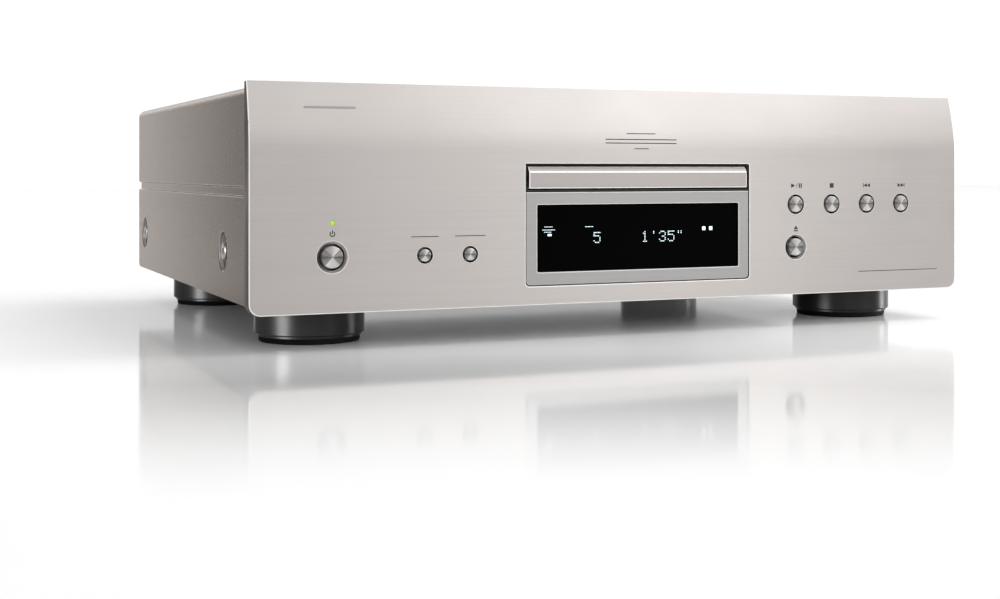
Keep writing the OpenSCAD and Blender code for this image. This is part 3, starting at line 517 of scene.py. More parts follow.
def circuit(name, color):
    """A circuit board: solder resist over copper tracks."""
    s = Shader(name, color, 0.35)
    tracks = s.node("ShaderNodeTexBrick", Vector=s.place, Scale=110.0)
    tracks.inputs["Color1"].default_value = (*color, 1.0)
    tracks.inputs["Color2"].default_value = (*(min(1.0, c * 1.35) for c in color), 1.0)
    tracks.inputs["Mortar"].default_value = (*(min(1.0, c * 2.0) for c in color), 1.0)
    tracks.inputs["Mortar Size"].default_value = 0.035
    s.tree.links.new(tracks.outputs["Color"], s.base.inputs["Base Color"])
    s.roughen(s.noise(700.0, 2.0), 0.28, 0.44)
    s.bump(tracks.outputs["Fac"], 3e-5)
    return s.material


def windings(name, color):
    """Taped coil, with the wrap's edges showing as fine ridges."""
    s = Shader(name, color, 0.4, Coat_Weight=0.3)
    wave = s.node("ShaderNodeTexWave", Vector=s.place, Scale=260.0, Distortion=1.5)
    wave.bands_direction = "Z"
    s.tint(wave.outputs["Fac"], 0.7, 1.15)
    s.roughen(s.noise(400.0, 2.0), 0.3, 0.5)
    s.bump(wave.outputs["Fac"], 6e-5)
    return s.material


def laminations(name, color):
    """Stacked core plates, seen as fine lines across the core."""
    s = Shader(name, color, 0.45, 0.8)
    wave = s.node("ShaderNodeTexWave", Vector=s.place, Scale=320.0, Distortion=0.3)
    wave.bands_direction = "Y"
    s.tint(wave.outputs["Fac"], 0.6, 1.2)
    s.roughen(s.noise(300.0, 2.0), 0.35, 0.55)
    s.bump(wave.outputs["Fac"], 4e-5)
    return s.material


def adjusted(material, socket, value):
    """The material, with one setting of its shader changed."""
    material.node_tree.nodes["Principled BSDF"].inputs[socket].default_value = value
    return material


def make_materials():
    """One material for each of the record's material slots."""
    return {
        "panel_aluminium": brushed("panel_aluminium", (0.48, 0.45, 0.434), 0.33, anisotropic=0.9),
        "button_aluminium": turned("button_aluminium", (0.665, 0.645, 0.631), 0.45, "Y", 0.95),
        "door_aluminium": brushed("door_aluminium", (0.375, 0.352, 0.339), 0.34, anisotropic=0.9),
        "cover_paint": paint("cover_paint", (0.155, 0.142, 0.135), 0.24, 0.95, 0.0),
        "rear_paint": paint("rear_paint", (0.44, 0.43, 0.415), 0.45, 0.6, 0.1),
        "chassis_steel": metal("chassis_steel", (0.55, 0.56, 0.57), 0.38),
        "black_plastic": plastic("black_plastic", (0.008, 0.008, 0.008), 0.55),
        "bezel_grey": brushed("bezel_grey", (0.36, 0.35, 0.345), 0.34),
        "window_black": glassy("window_black", (0.0003, 0.0003, 0.0004), 0.06, 0.02),
        "display_glass": glassy("display_glass", (0.03, 0.06, 0.06), 0.08),
        "lamp_green": glow("lamp_green", (0.22, 0.36, 0.01), 1.1),
        "foot_black": spun("foot_black", (0.006, 0.006, 0.006), 0.36),
        "pad_rubber": rubber("pad_rubber", (0.006, 0.006, 0.006)),
        "socket_screw_steel": metal("socket_screw_steel", (0.5, 0.49, 0.48), 0.3, 500.0, 3e-6),
        "screw_steel": metal("screw_steel", (0.6, 0.6, 0.61), 0.28, 600.0, 3e-6),
        "board_green": circuit("board_green", (0.02, 0.13, 0.05)),
        "board_tan": circuit("board_tan", (0.36, 0.23, 0.09)),
        "capacitor_sleeve": plastic("capacitor_sleeve", (0.012, 0.02, 0.07), 0.3, 300.0, 1e-5, 0.4),
        "heatsink_black": metal("heatsink_black", (0.04, 0.04, 0.045), 0.45),
        "chip_black": plastic("chip_black", (0.015, 0.015, 0.016), 0.45, 1500.0, 1.2e-5),
        "core_steel": laminations("core_steel", (0.2, 0.2, 0.21)),
        "coil_tape": windings("coil_tape", (0.5, 0.34, 0.06)),
        "gold_plate": metal("gold_plate", (0.86, 0.62, 0.26), 0.2, 500.0, 2e-6, 0.04),
        "ribbon_white": plastic("ribbon_white", (0.72, 0.73, 0.74), 0.5, 500.0, 8e-6),
        "loader_plastic": plastic("loader_plastic", (0.035, 0.035, 0.04), 0.48),
        "damper_rubber": rubber("damper_rubber", (0.05, 0.05, 0.055)),
        "clamper_plastic": plastic("clamper_plastic", (0.07, 0.07, 0.075), 0.42),
        "tray_plastic": plastic("tray_plastic", (0.04, 0.04, 0.043), 0.42, 2000.0, 1.2e-5),
        "motor_steel": metal("motor_steel", (0.62, 0.63, 0.64), 0.25, 400.0, 2e-6),
        "pulley_brass": metal("pulley_brass", (0.78, 0.58, 0.28), 0.25, 400.0, 2e-6),
        "belt_rubber": rubber("belt_rubber", (0.015, 0.015, 0.015), 0.6),
        "gear_plastic": plastic("gear_plastic", (0.78, 0.76, 0.7), 0.38, 900.0, 5e-6),
        "traverse_steel": metal("traverse_steel", (0.32, 0.32, 0.33), 0.42),
        "turntable_black": plastic("turntable_black", (0.02, 0.02, 0.022), 0.4),
        "rod_steel": metal("rod_steel", (0.72, 0.72, 0.74), 0.12, 900.0, 1e-6, 0.03),
        "sled_plastic": plastic("sled_plastic", (0.08, 0.08, 0.085), 0.42),
        "lens_glass": glassy("lens_glass", (0.02, 0.035, 0.09), 0.04),
    }


# ---- front ----


def make_panel(materials):
    """The front panel: a thick brushed plate whose top curves back, with its openings."""
    corner_r = 6.0
    steps = 44
    heights = [PANEL_Z1 - BROW_H * (1 - i / steps) for i in range(steps + 1)]
    profile = [(FACE_Y, PANEL_Z0)] + [(FACE_Y + brow(z), z) for z in heights]
    profile += [(BACK_Y, PANEL_Z1), (BACK_Y, PANEL_Z0)]
    panel = as_object("front_panel_plate", prism("x", profile, -HALF_W, HALF_W))
    front = outline(
        (-HALF_W, PANEL_Z0, corner_r), (HALF_W, PANEL_Z0, corner_r),
        (HALF_W, PANEL_Z1 + 1, 0), (-HALF_W, PANEL_Z1 + 1, 0), steps=12)
    combine(panel, prism("y", front, FACE_Y - 1, BACK_Y + 1), "INTERSECT")
    mouth = outline(
        (-MOUTH_HALF, MOUTH_Z0, 2.2), (MOUTH_HALF, MOUTH_Z0, 2.2),
        (MOUTH_HALF, MOUTH_Z1, 0), (-MOUTH_HALF, MOUTH_Z1, 0))
    cutters = [prism("y", mouth, FACE_Y - 1, BACK_Y + 1)]
    for node, (_, hole_r, sink_r) in BUTTONS.items():
        centre = button_centre(node)
        mouth_r = sink_r + (sink_r - hole_r) / SINK_DEPTH
        cutters.append(lathe("y", centre, [
            (0, FACE_Y - 1), (mouth_r, FACE_Y - 1), (hole_r, FACE_Y + SINK_DEPTH),
            (hole_r, BACK_Y + 1), (0, BACK_Y + 1)]))
    lamp_r = 1.25
    lamp = lamp_centre()
    cutters.append(lathe("y", lamp, [
        (0, FACE_Y - 1), (lamp_r, FACE_Y - 1), (lamp_r, BACK_Y + 1), (0, BACK_Y + 1)], 32))
    combine(panel, joined(cutters))
    soften(panel, 0.45, cut_and_highlight=True, clamp=False)
    rim = corner_r * 0.3

    def edge_share(at):
        """The panel's outline is rounded most, then its opening; the buttons' holes only slightly."""
        if abs(at.x) > HALF_W - rim or at.z < PANEL_Z0 + rim:
            return 1.0
        if in_mouth(at):
            return 0.9
        return 0.0 if math.dist((at.x, at.z), lamp) < 2 * lamp_r else 0.25

    weigh_edges(panel, edge_share)
    piece(panel, materials["panel_aluminium"], "case", "panel_aluminium", "front_panel")
    holes = [(button_centre(node), hole_r + 0.1) for node, (_, hole_r, _) in BUTTONS.items()]
    panel.data.materials.append(SHADED_METAL)
    panel.data.materials.append(INK_AND_GAP_SHADE)
    # The panel's ends take the darker copy of its aluminium as painted shade; the walls of its opening and of
    # the buttons' holes take the black ink as painted shade.
    for polygon in panel.data.polygons:
        at = polygon.center / MM
        if abs(polygon.normal.y) > 0.05:
            continue
        if abs(polygon.normal.x) > 0.2 and abs(at.x) > HALF_W - corner_r:
            polygon.material_index = 2
        elif in_mouth(at) or any(math.dist((at.x, at.z), centre) < r for centre, r in holes):
            polygon.material_index = 3


def in_mouth(at):
    """Whether a point lies on the rim of the panel's opening or inside it."""
    return abs(at.x) < MOUTH_HALF + 0.1 and MOUTH_Z0 - 0.1 < at.z < MOUTH_Z1 + 0.1


def button_centre(node):
    low, high = span(node)
    return ((low.x + high.x) / 2, (low.z + high.z) / 2)


def lamp_centre():
    return ((LED_LOW.x + LED_HIGH.x) / 2, (LED_LOW.z + LED_HIGH.z) / 2)


def make_buttons(materials):
    """Turned button caps on moulded flanges and stems."""
    stem_r = 2.2
    flange_y0 = BACK_Y + 0.3
    flange_y1 = flange_y0 + 1.0
    rim = 0.55
    crown = 0.12
    for node, (cap_r, hole_r, _) in BUTTONS.items():
        low, high = span(node)
        profile = [(0, low.y + crown), (cap_r * 0.5, low.y + crown * 0.6), (cap_r - rim, low.y + 0.02)]
        profile += [
            (cap_r - rim * (1 - rise), low.y + 0.02 + 0.5 * run)
            for rise, run in corner_steps(20, 40, 60, 80, 90)]
        profile += [
            (cap_r, flange_y0), (hole_r + 1, flange_y0), (hole_r + 1, flange_y1),
            (stem_r, flange_y1), (stem_r, high.y), (0, high.y)]
        cap = as_object(f"{node}_cap", lathe("y", button_centre(node), profile, 72))
        soften(cap, 0.08, 2, 40)
        piece(cap, materials["button_aluminium"], BODY_OF[node], "button_aluminium", node)


def make_lamp(materials):
    """The power lamp's lens: a small dome on a light pipe."""
    lens_r = 1.2
    dome = [(lens_r * rise, LED_LOW.y + 0.5 * run) for rise, run in corner_steps(*range(0, 91, 15))]
    profile = dome + [(lens_r, BACK_Y), (2.0, BACK_Y), (2.0, LED_HIGH.y), (0, LED_HIGH.y)]
    lamp = as_object("power_lamp_lens", lathe("y", lamp_centre(), profile, 40))
    soften(lamp, 0.05, 2, 40)
    piece(lamp, materials["lamp_green"], "case", "lamp_green", "led_lens")


def make_display(materials):
    """The display's bezel, its window and the lit figures behind it."""
    half = MOUTH_HALF - MOUTH_GAP
    low_z = MOUTH_Z0 + MOUTH_GAP
    front = BEZEL_LOW.y
    ledge = WINDOW_HIGH.y
    inset = 3.0
    corner_r = 1.9
    window_r = 0.9
    play = 0.1
    bezel_face = outline(
        (-half, low_z, corner_r), (half, low_z, corner_r),
        (half, BEZEL_HIGH.z, 0), (-half, BEZEL_HIGH.z, 0))
    bezel = as_object("display_bezel_frame", prism("y", bezel_face, front, BACK_Y + 0.05))
    flange = rectangle(BEZEL_LOW.x, BEZEL_LOW.z, BEZEL_HIGH.x, BEZEL_HIGH.z, 1.0)
    combine(bezel, prism("y", flange, BACK_Y, BEZEL_HIGH.y), "UNION")
    seat = rectangle(
        WINDOW_LOW.x - play, WINDOW_LOW.z - play, WINDOW_HIGH.x + play, WINDOW_HIGH.z + play, window_r)
    through = rectangle(
        WINDOW_LOW.x + inset, WINDOW_LOW.z + inset, WINDOW_HIGH.x - inset, WINDOW_HIGH.z - inset, window_r)
    combine(bezel, prism("y", seat, front - 1, ledge))
    combine(bezel, prism("y", through, ledge - 1, BEZEL_HIGH.y + 1))
    soften(bezel, 0.3, cut_and_highlight=True, clamp=False)

    def beside_the_gap(at):
        """Whether a point lies on the bezel's outline, next to the panel's opening."""
        return abs(at.x) > half - corner_r or at.z < low_z + corner_r

    weigh_edges(bezel, lambda at: 0.15 if beside_the_gap(at) else 1.0)
    piece(bezel, materials["bezel_grey"], "case", "bezel_grey", "display_bezel")
    # The bezel's sides next to the panel's opening take the black ink: painted shade in the gap.
    bezel.data.materials.append(INK_AND_GAP_SHADE)
    for polygon in bezel.data.polygons:
        if abs(polygon.normal.y) < 0.05 and beside_the_gap(polygon.center / MM):
            polygon.material_index = 2

    glass = rectangle(WINDOW_LOW.x, WINDOW_LOW.z, WINDOW_HIGH.x, WINDOW_HIGH.z, window_r - play)
    window = as_object("display_window_pane", prism("y", glass, WINDOW_LOW.y, WINDOW_HIGH.y))
    soften(window, 0.25)
    piece(window, materials["window_black"], "case", "window_black", "display_window")
    make_figures()


# Figures on a grid five dots wide and seven high
FIGURES = {
    "1": ("..#..", ".##..", "..#..", "..#..", "..#..", "..#..", ".###."),
    "3": (".###.", "#...#", "....#", "..##.", "....#", "#...#", ".###."),
    "5": ("#####", "#....", "####.", "....#", "....#", "#...#", ".###."),
    "'": ("..#..", "..#..", ".....", ".....", ".....", ".....", "....."),
    '"': (".#.#.", ".#.#.", ".....", ".....", ".....", ".....", "....."),
}


def make_figures():
    """Lit dots: a track number, a playing time and plain indicator bars."""
    pitch = 0.88
    dot = 0.23
    top = 56.2
    advance = 5.5
    dots = []

    def lit(x, z, half_w, half_h):
        points = rectangle(x - half_w, z - half_h, x + half_w, z + half_h)
        dots.append(prism("y", points, WINDOW_LOW.y - 0.03, WINDOW_LOW.y + 0.1))

    for text, left in (("5", -28.0), ("1'35\"", 1.5)):
        for place, figure in enumerate(text):
            for row, line in enumerate(FIGURES[figure]):
                for column, mark in enumerate(line):
                    if mark == "#":
                        x = left + place * advance + column * pitch
                        lit(x, top - row * pitch, dot, dot)
    for x in (40.8, 45.3):
        lit(x, 57.4, 1.0, 1.0)
    for left, z, count in ((-33.2, 59.5, 6), (-57.4, 59.7, 6), (-58.6, 58.1, 9), (-57.4, 56.9, 5)):
        for i in range(count):
            lit(left + i * 0.85, z, 0.26, 0.15)
    lit(-54.6, 55.4, 1.1, 0.55)
    figures = as_object("display_figures", joined(dots))
    piece(figures, glow("display_lit", (0.72, 0.93, 1.0), 1.15), "case", "display_glass")


def make_door(materials):
    """The tray's front: a brushed strip with a bevelled upper edge."""
    bevel_z = DOOR_HIGH.z - 2.8
    front = DOOR_LOW.y
    profile = [
        (front, DOOR_LOW.z), (DOOR_HIGH.y, DOOR_LOW.z), (DOOR_HIGH.y, DOOR_HIGH.z),
        (front + 1.9, DOOR_HIGH.z), (front, bevel_z)]
    door = as_object("tray_door_strip", prism("x", profile, DOOR_LOW.x, DOOR_HIGH.x))
    soften(door, 0.45, cut_and_highlight=True, clamp=False)
    piece(door, materials["door_aluminium"], "tray", "door_aluminium", "tray_door")


# ---- printed signs ----


def print_sign(name, shapes):
    """Dark printed shapes, a hair proud of the panel and following its curve."""
    proud, sunk = -0.035, 0.15
    sign = as_object(name, joined([prism("face", points, proud, sunk) for points in shapes]))
    piece(sign, INK_AND_GAP_SHADE, "case", "black_plastic")


def bar(x, z, width, height):
    return rectangle(x - width / 2, z - height / 2, x + width / 2, z + height / 2)


def arrow(x, z, size, way):
    """A triangle that points left or right, with way -1 or 1."""
    return [(x - way * size / 2, z - size / 2), (x - way * size / 2, z + size / 2), (x + way * size / 2, z)]


def band(x, z, r, thick, start, stop, steps=20):
    """An arc of a thin ring, with its angles in degrees."""
    angles = [math.radians(start + (stop - start) * i / steps) for i in range(steps + 1)]
    outer = [(x + (r + thick / 2) * math.cos(a), z + (r + thick / 2) * math.sin(a)) for a in angles]
    inner = [(x + (r - thick / 2) * math.cos(a), z + (r - thick / 2) * math.sin(a)) for a in reversed(angles)]
    return outer + inner


def make_signs():
    """Common signs above the buttons, and plain rules where words stood."""
    size = 2.7
    above = 10.7
    x, z = button_centre("power_button")
    print_sign("power_sign", [band(x, z + 11.6, 1.2, 0.55, 130, 410), bar(x, z + 12.5, 0.5, 1.9)])
    x, z = button_centre("play_button")
    slash_z0, slash_z1 = z + above - 1.3, z + above + 1.3
    slash = [(x + 0.2, slash_z0), (x + 0.5, slash_z0), (x + 1.2, slash_z1), (x + 0.9, slash_z1)]
    print_sign("play_sign", [
        arrow(x - 1.9, z + above, size, 1), slash,
        bar(x + 2.4, z + above, 0.75, size), bar(x + 3.7, z + above, 0.75, size)])
    x, z = button_centre("stop_button")
    print_sign("stop_sign", [bar(x, z + above, size, size)])
    small = 2.3
    for node, way in (("previous_button", -1), ("next_button", 1)):
        x, z = button_centre(node)
        print_sign(node.replace("button", "sign"), [
            arrow(x - way * 1.25, z + above, small, way), arrow(x + way * 1.05, z + above, small, way),
            bar(x + way * 2.45, z + above, 0.45, small)])
    x, z = button_centre("eject_button")
    print_sign("eject_sign", [
        [(x - 1.45, z + 10.1), (x + 1.45, z + 10.1), (x, z + 12.3)], bar(x, z + 9.3, 2.9, 0.7)])
    for node, width in (("layer_button", 15.0), ("direct_button", 17.0)):
        x, z = button_centre(node)
        print_sign(node.replace("button", "rule"), [bar(x, z + 9.6, width, 0.4)])
    print_sign("centre_rules", [
        bar(0, 109.8, 18, 0.45), bar(0, 106.6, 44, 0.5), bar(0, 104.6, 44, 0.5), bar(0, 101.6, 9, 0.45)])
    print_sign("corner_rule", [bar(174, 30.5, 58, 0.4)])


def make_badge(materials):
    """A plain raised bar in the panel's upper left corner."""
    x, z = -175.5, 121.0
    length, height = 27.0, 1.6
    points = rectangle(x - length / 2, z - height / 2, x + length / 2, z + height / 2, height / 2 - 0.05)
    y = FACE_Y + brow(z)
    badge = as_object("panel_badge", prism("y", points, y - 0.1, y + 1.0))
    soften(badge, 0.12)
    piece(badge, materials["door_aluminium"], "case", "door_aluminium")


# ---- case ----


def mirrored(corners):
    return [(-a, b, r) for a, b, r in reversed(corners)]


def make_cover(materials):
    """The cover: one sheet bent over both sides, with a groove, dimples and rounded ends."""
    t = 1.6
    bend = 4.5
    half, z0, z1 = COVER_HIGH.x, COVER_LOW.z, COVER_HIGH.z
    groove_z0, groove_z1, groove_in = 76.5, 81.7, 1.6
    soft = 0.7
    slope = 0.35
    outer = [
        (half, z0, 0), (half, groove_z0, soft), (half - groove_in, groove_z0 + slope, soft),
        (half - groove_in, groove_z1 - slope, soft), (half, groove_z1, soft), (half, z1, bend)]
    inner = [
        (half - t, z0, 0), (half - t, groove_z0 - t + slope, soft),
        (half - t - groove_in, groove_z0 - t + 2 * slope, soft),
        (half - t - groove_in, groove_z1 + t - 2 * slope, soft),
        (half - t, groove_z1 + t - slope, soft), (half - t, z1 - t, bend - t)]
    points = outline(*outer, *mirrored(outer), *[(-a, b, r) for a, b, r in inner], *reversed(inner), steps=7)
    cover = as_object("top_cover_sheet", prism("y", points, COVER_LOW.y, COVER_HIGH.y))
    side = outline(
        (COVER_LOW.y - 1, z0 - 1, 0), (COVER_HIGH.y - 4, z0 - 1, 0), (COVER_HIGH.y - 4, z0, 0),
        (COVER_HIGH.y, z0, 3.5), (COVER_HIGH.y, z1 + 0.001, 3.0), (COVER_LOW.y - 1, z1 + 0.001, 0), steps=10)
    combine(cover, prism("x", side, -half - 1, half + 1), "INTERSECT")

    dimple_r, dimple_depth, backing_r = 10.0, 2.2, 11.5
    hole_r, lip = 2.05, 0.9
    places = screw_places()
    backs, dents = [], []
    for screw_y, screw_z in places:
        for s in (-1, 1):
            seat = s * (half - dimple_depth)
            backs.append(lathe("x", (screw_y, screw_z), [
                (0, seat - s * t), (backing_r, seat - s * t), (backing_r, s * (half - t + 0.05)),
                (0, s * (half - t + 0.05))]))
            rim = [
                (dimple_r + lip * run, s * (half - lip + lip * rise))
                for rise, run in corner_steps(*range(0, 91, 15))]
            dents.append(lathe("x", (screw_y, screw_z), [
                (0, seat), (dimple_r - 0.8, seat), (dimple_r - 0.2, seat + s * 0.25),
                (dimple_r, seat + s * 0.8), *rim, (dimple_r + lip, s * (half + 1)), (0, s * (half + 1))]))
            dents.append(lathe("x", (screw_y, screw_z), [
                (0, s * (half - 6)), (hole_r, s * (half - 6)),
                (hole_r, seat + s * 0.1), (0, seat + s * 0.1)], 32))
    combine(cover, joined(backs), "UNION")
    combine(cover, joined(dents))
    soften(cover, 0.2, 2, 35)
    piece(cover, materials["cover_paint"], "case", "cover_paint", "top_cover")
    # The dimples take a lighter copy of the cover's paint: painted light in the hollows.
    cover.data.materials.append(DIMPLE_PAINTED_LIGHT)
    for polygon in cover.data.polygons:
        at = polygon.center / MM
        in_dish = any(math.dist((at.y, at.z), place) < dimple_r + 1 for place in places)
        if in_dish and half - dimple_depth - 0.1 < abs(at.x) < half - 0.01:
            polygon.material_index = 2


def screw_places():
    """(y, z) of the cover's screws, found from the screws' own solids."""
    low, high = span("cover_screws")
    head_r = 4.5
    z = (low.z + high.z) / 2
    return [(low.y + head_r, z), (high.y - head_r, z)]


def make_cover_screws(materials):
    """Socket-head screws with a chamfered rim, in the cover's dimples."""
    _, high = span("cover_screws")
    head_r, head_h, shank_r, shank = 4.5, 2.0, 2.0, 6.0
    solids, sockets = [], []
    for y, z in screw_places():
        for s in (-1, 1):
            tip = s * high.x
            seat = s * (high.x - head_h)
            solids.append(lathe("x", (y, z), [
                (0, tip), (head_r - 0.5, tip), (head_r, tip - s * 0.5), (head_r, seat),
                (shank_r, seat), (shank_r, seat - s * shank), (0, seat - s * shank)], 48))
            hexagon = ring_points(y, z, 2.0, 6)
            sockets.append(prism("x", hexagon, *sorted((tip + s, tip - s * 1.4))))
    screws = as_object("cover_socket_screws", joined(solids))
    combine(screws, joined(sockets))
    soften(screws, 0.12, 2, 35)
    piece(screws, materials["socket_screw_steel"], "case", "socket_screw_steel", "cover_screws")


def make_feet(materials):
    """Turned feet with a polished side and a stepped base, on rubber rings."""
    bore_r, well_r, web_z, pad_z = 2.3, 14.0, 12.0, 3.0
    rings = []
    for node in FEET:
        low, high = span(node)
        centre = ((low.x + high.x) / 2, (low.y + high.y) / 2)
        r = (high.x - low.x) / 2
        base_r = r - 1.6
        pad_r = r - 2.5
        foot = as_object(f"{node}_body", lathe("z", centre, [
            (bore_r, high.z), (r - 0.5, high.z), (r, high.z - 0.5), (r, pad_z + 1.9),
            (r - 0.35, pad_z + 1.5), (base_r, pad_z + 1.3), (base_r, pad_z), (well_r, pad_z),
            (well_r, web_z), (bore_r, web_z)], 128))
        soften(foot, 0.12, 2, 35)
        piece(foot, materials["foot_black"], "case", "foot_black", node)
        rings.append(lathe("z", centre, [
            (well_r, 0), (pad_r - 0.6, 0), (pad_r, 0.6), (pad_r, pad_z), (well_r, pad_z)]))
    pads = as_object("foot_pad_rings", joined(rings))
    soften(pads, 0.2, 2, 35)
    piece(pads, materials["pad_rubber"], "case", "pad_rubber", "foot_pads")


# Place (x, z) and colour of the ring round each phono jack: white and red for the channels, orange for
# the coaxial one
JACK_RINGS = {
    "phono_ring_left": ((150, 68), (0.75, 0.75, 0.73)),
    "phono_ring_right": ((150, 48), (0.5, 0.02, 0.015)),
    "phono_ring_coaxial": ((18, 46), (0.75, 0.2, 0.02)),
}


def make_jack_rings():
    """Coloured rings on the rear panel, round the phono jacks."""
    inner_r, outer_r, thick = 4.3, 6.2, 0.8
    y0 = span("rear_panel")[1].y + 1.02
    y1 = y0 + thick
    for name, (place, color) in JACK_RINGS.items():
        ring = as_object(name, lathe("y", place, [
            (inner_r, y0), (outer_r, y0), (outer_r, y1), (inner_r, y1)], 64))
        soften(ring, 0.2, 2, 35)
        piece(ring, plastic(f"{name}_plastic", color, 0.4), "case", "black_plastic")


# ---- everything that keeps its CAD shape ----

# Width of the rounded edges, in millimetres, where it isn't the usual one. Nought keeps the CAD's own
# edges: on teeth, and on two pieces that the rounding would tear.
USUAL_EDGE = 0.15
EDGE = {
    "disc_tray": 0.35, "loader_chassis": 0.35, "front_subframe": 0.2, "transformer_coils": 1.2,
    "mains_inlet": 0.3, "drive_gear": 0.0, "sled_gear": 0.0, "pulley_gear": 0.0, "sled_pinion": 0.0,
    "clamp_bridge": 0.0, "transformer_cores": 0.0,
}


def finish_cad_nodes(materials):
    """Gives each shown CAD node its material and, unless EDGE says nought, slightly rounded edges."""
    for name, node in NODES.items():
        if node.hide_render:
            continue
        node.data.materials.clear()
        node.data.materials.append(materials[SLOTS[name]])
        width = EDGE.get(name, USUAL_EDGE)
        if width > 0:
            weld = node.modifiers.new("weld", "WELD")
            weld.merge_threshold = 1e-6
            flat = node.modifiers.new("flat", "DECIMATE")
            flat.decimate_type = "DISSOLVE"
            flat.angle_limit = math.radians(0.6)
            soften(node, width, 2, 35)


# ---- surroundings ----

FLOOR_HALF = 6.0
# The floor's glossy share, by how edge-on it is seen
FLOOR_GLOSS = [
    (0.0, 0.0), (0.774, 0.0), (0.79, 0.06), (0.806, 0.16), (0.826, 0.34), (0.840, 0.5), (0.853, 0.6),
    (0.864, 0.5), (0.873, 0.36), (0.905, 0.36), (0.925, 0.7), (0.95, 1.0), (1.0, 1.0)]

# Brightness of the studio by the direction's coordinates, each laid out from 0 to 1, as shares of the gain;
# and where its front gives way to its back and its sides to its top. Tuned.
WORLD_GAIN = 2.0
WORLD_TOP = 0.42
WORLD_SIDE = [(0.0, 0.5), (0.25, 0.5), (0.38, 0.75), (0.43, 1.0), (1.0, 1.0)]
WORLD_FRONT_X = [
    (0.0, 0.35), (0.3, 0.35), (0.45, 0.12), (0.60, 0.0), (0.64, 0.05), (0.68, 0.19), (0.72, 0.38),
    (0.755, 0.49), (0.775, 0.45), (0.79, 0.26), (0.81, 0.04), (0.83, 0.0), (1.0, 0.0)]
WORLD_FRONT_Z = [
    (0.0, 0.1), (0.5, 0.1), (0.55, 0.13), (0.60, 0.42), (0.64, 0.92), (0.68, 1.0), (0.74, 1.0),
    (0.80, 0.6), (1.0, 0.4)]
WORLD_BACK_X = [
    (0.0, 0.0), (0.37, 0.03), (0.39, 0.12), (0.41, 0.55), (0.43, 1.0), (0.47, 1.0), (0.5, 0.53), (1.0, 0.53)]
WORLD_TO_BACK = [(0.0, 0.0), (0.47, 0.0), (0.60, 1.0), (1.0, 1.0)]
WORLD_TO_TOP = [(0.0, 0.0), (0.80, 0.0), (0.88, 1.0), (1.0, 1.0)]


def make_floor():
    """A pale floor that is matt from above and glossy at grazing angles."""
    bm = bmesh.new()
    bmesh.ops.create_grid(bm, x_segments=1, y_segments=1, size=FLOOR_HALF / MM)
    floor = as_object("floor", bm)
    material = bpy.data.materials.new("floor_gloss")
    material.use_nodes = True
    tree = material.node_tree
    matt = tree.nodes["Principled BSDF"]
    matt.inputs["Base Color"].default_value = (0.905, 0.905, 0.905, 1.0)
    matt.inputs["Roughness"].default_value = 0.7
    matt.inputs["Specular IOR Level"].default_value = 0.0
    gloss = tree.nodes.new("ShaderNodeBsdfGlossy")
    gloss.inputs["Color"].default_value = (1.0, 1.0, 1.0, 1.0)
    gloss.inputs["Roughness"].default_value = 0.08
    facing = tree.nodes.new("ShaderNodeLayerWeight").outputs["Facing"]
    curve = value_ramp(tree, facing, FLOOR_GLOSS)
    mix = tree.nodes.new("ShaderNodeMixShader")
    tree.links.new(curve, mix.inputs["Fac"])
    tree.links.new(matt.outputs[0], mix.inputs[1])
    tree.links.new(gloss.outputs[0], mix.inputs[2])
    tree.links.new(mix.outputs[0], tree.nodes["Material Output"].inputs["Surface"])
    floor.data.materials.append(material)


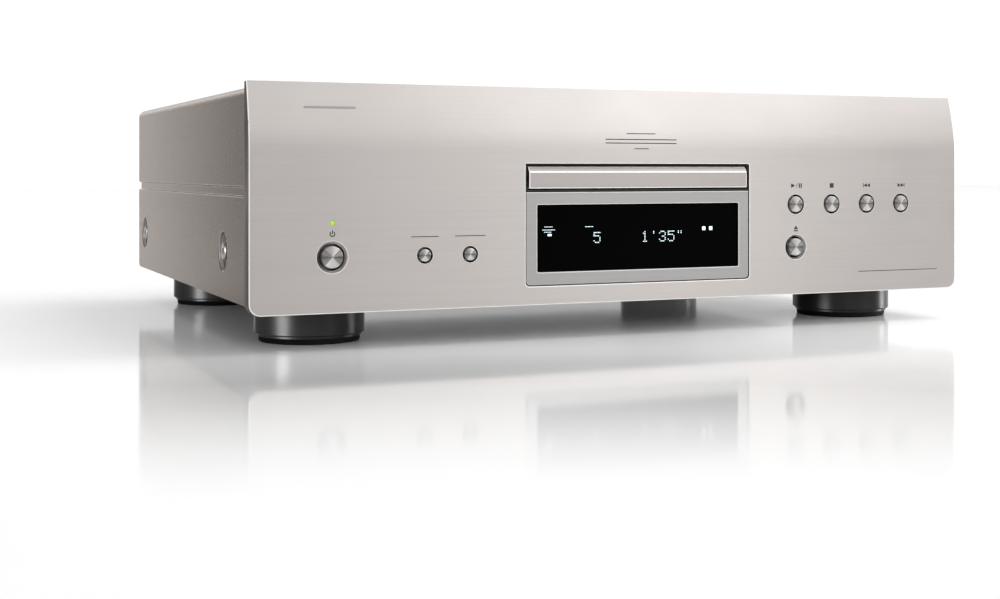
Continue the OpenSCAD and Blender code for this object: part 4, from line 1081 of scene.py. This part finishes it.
def make_world():
    """A soft studio by direction: white behind and above, a broad grey glow in front."""
    world = bpy.data.worlds.new("studio")
    world.use_nodes = True
    bpy.context.scene.world = world
    tree = world.node_tree
    direction = tree.nodes.new("ShaderNodeTexCoord").outputs["Generated"]
    split = tree.nodes.new("ShaderNodeSeparateXYZ")
    tree.links.new(direction, split.inputs[0])

    def along(axis):
        """A coordinate of the direction, from 0 to 1."""
        made = tree.nodes.new("ShaderNodeMapRange")
        made.inputs["From Min"].default_value = -1.0
        tree.links.new(split.outputs[axis], made.inputs["Value"])
        return made.outputs[0]

    def mixed(a, b, share, how="MIX"):
        """A mix of two colours, by a fixed share or a socket."""
        made = tree.nodes.new("ShaderNodeMix")
        made.data_type = "RGBA"
        made.blend_type = how
        sockets = [s for s in made.inputs if s.type == "RGBA"]
        tree.links.new(a, sockets[0])
        tree.links.new(b, sockets[1])
        if isinstance(share, float):
            made.inputs["Factor"].default_value = share
        else:
            tree.links.new(share, made.inputs["Factor"])
        return [s for s in made.outputs if s.type == "RGBA"][0]

    x, y, z = along("X"), along("Y"), along("Z")
    front_width = value_ramp(tree, x, WORLD_FRONT_X)
    front_height = value_ramp(tree, z, WORLD_FRONT_Z)
    front = mixed(front_width, front_height, 1.0, "ADD")
    behind = value_ramp(tree, x, WORLD_BACK_X)
    around = mixed(front, behind, value_ramp(tree, y, WORLD_TO_BACK))
    top = value_ramp(tree, z, [(0.0, WORLD_TOP), (1.0, WORLD_TOP)])
    whole = mixed(around, top, value_ramp(tree, z, WORLD_TO_TOP))
    whole = mixed(whole, value_ramp(tree, x, WORLD_SIDE), 1.0, "MULTIPLY")
    background = tree.nodes["Background"]
    tree.links.new(whole, background.inputs["Color"])
    background.inputs["Strength"].default_value = WORLD_GAIN


def area_light(name, position, target, size, power, only=()):
    """A softbox; with a list of pieces, it lights only those."""
    data = bpy.data.lights.new(name, "AREA")
    data.shape = "RECTANGLE"
    data.size, data.size_y = size
    data.energy = power
    light = bpy.data.objects.new(name, data)
    light.location = position
    aim = Vector(target) - Vector(position)
    light.rotation_euler = aim.to_track_quat("-Z", "Y").to_euler()
    bpy.context.scene.collection.objects.link(light)
    if only:
        receivers = bpy.data.collections.new(f"{name}_receivers")
        for lit in only:
            receivers.objects.link(bpy.data.objects[lit])
        light.light_linking.receiver_collection = receivers


def make_lights():
    """Softboxes overhead and at both sides; the left ones light only the feet and only the side screws."""
    middle = (0, -0.1, 0.03)
    left = ((-1.2, -0.47, 0.22), middle, (0.45, 0.4))
    area_light("left_strip", *left, 26, [f"{node}_body" for node in FEET])
    area_light("left_glint", *left, 9, ["cover_socket_screws"])
    area_light("right_strip", (1.44, -0.33, 0.22), middle, (0.3, 0.4), 6)
    area_light("overhead", (0.95, -0.15, 1.6), middle, (1.2, 1.2), 12)


# ---- build ----

make_camera()
MATERIALS = make_materials()
# The cut edges' bare metal, made near-white and almost matt: partly the chamfers' own brightness, partly a
# painted highlight.
CUT_EDGE_AND_HIGHLIGHT = adjusted(metal("cut_edge_and_painted_highlight", (0.92, 0.905, 0.885), 0.3, 900.0, 1e-6, 0.03), "Metallic", 0.1)
# A lighter copy of the cover's paint, for the dimples: painted light.
DIMPLE_PAINTED_LIGHT = paint("dimple_painted_light", (0.42, 0.39, 0.37), 0.3, 0.9, 0.0)
# A darker copy of the panel's aluminium, for its ends: painted shade.
SHADED_METAL = adjusted(
    brushed("shaded_metal", (0.15, 0.142, 0.136), 0.36, anisotropic=0.6), "Specular Tint", EDGE_TINT)
# Black ink for the printed signs; laid on the walls of openings and gaps, it is painted shade.
INK_AND_GAP_SHADE = plastic("ink_and_painted_gap_shade", (0.008, 0.008, 0.0085), 0.5, 3000.0, 2e-6)
make_panel(MATERIALS)
make_buttons(MATERIALS)
make_lamp(MATERIALS)
make_display(MATERIALS)
make_door(MATERIALS)
make_signs()
make_badge(MATERIALS)
make_cover(MATERIALS)
make_cover_screws(MATERIALS)
make_feet(MATERIALS)
make_jack_rings()
finish_cad_nodes(MATERIALS)
make_floor()
make_world()
make_lights()
bpy.context.scene.view_settings.view_transform = "Standard"
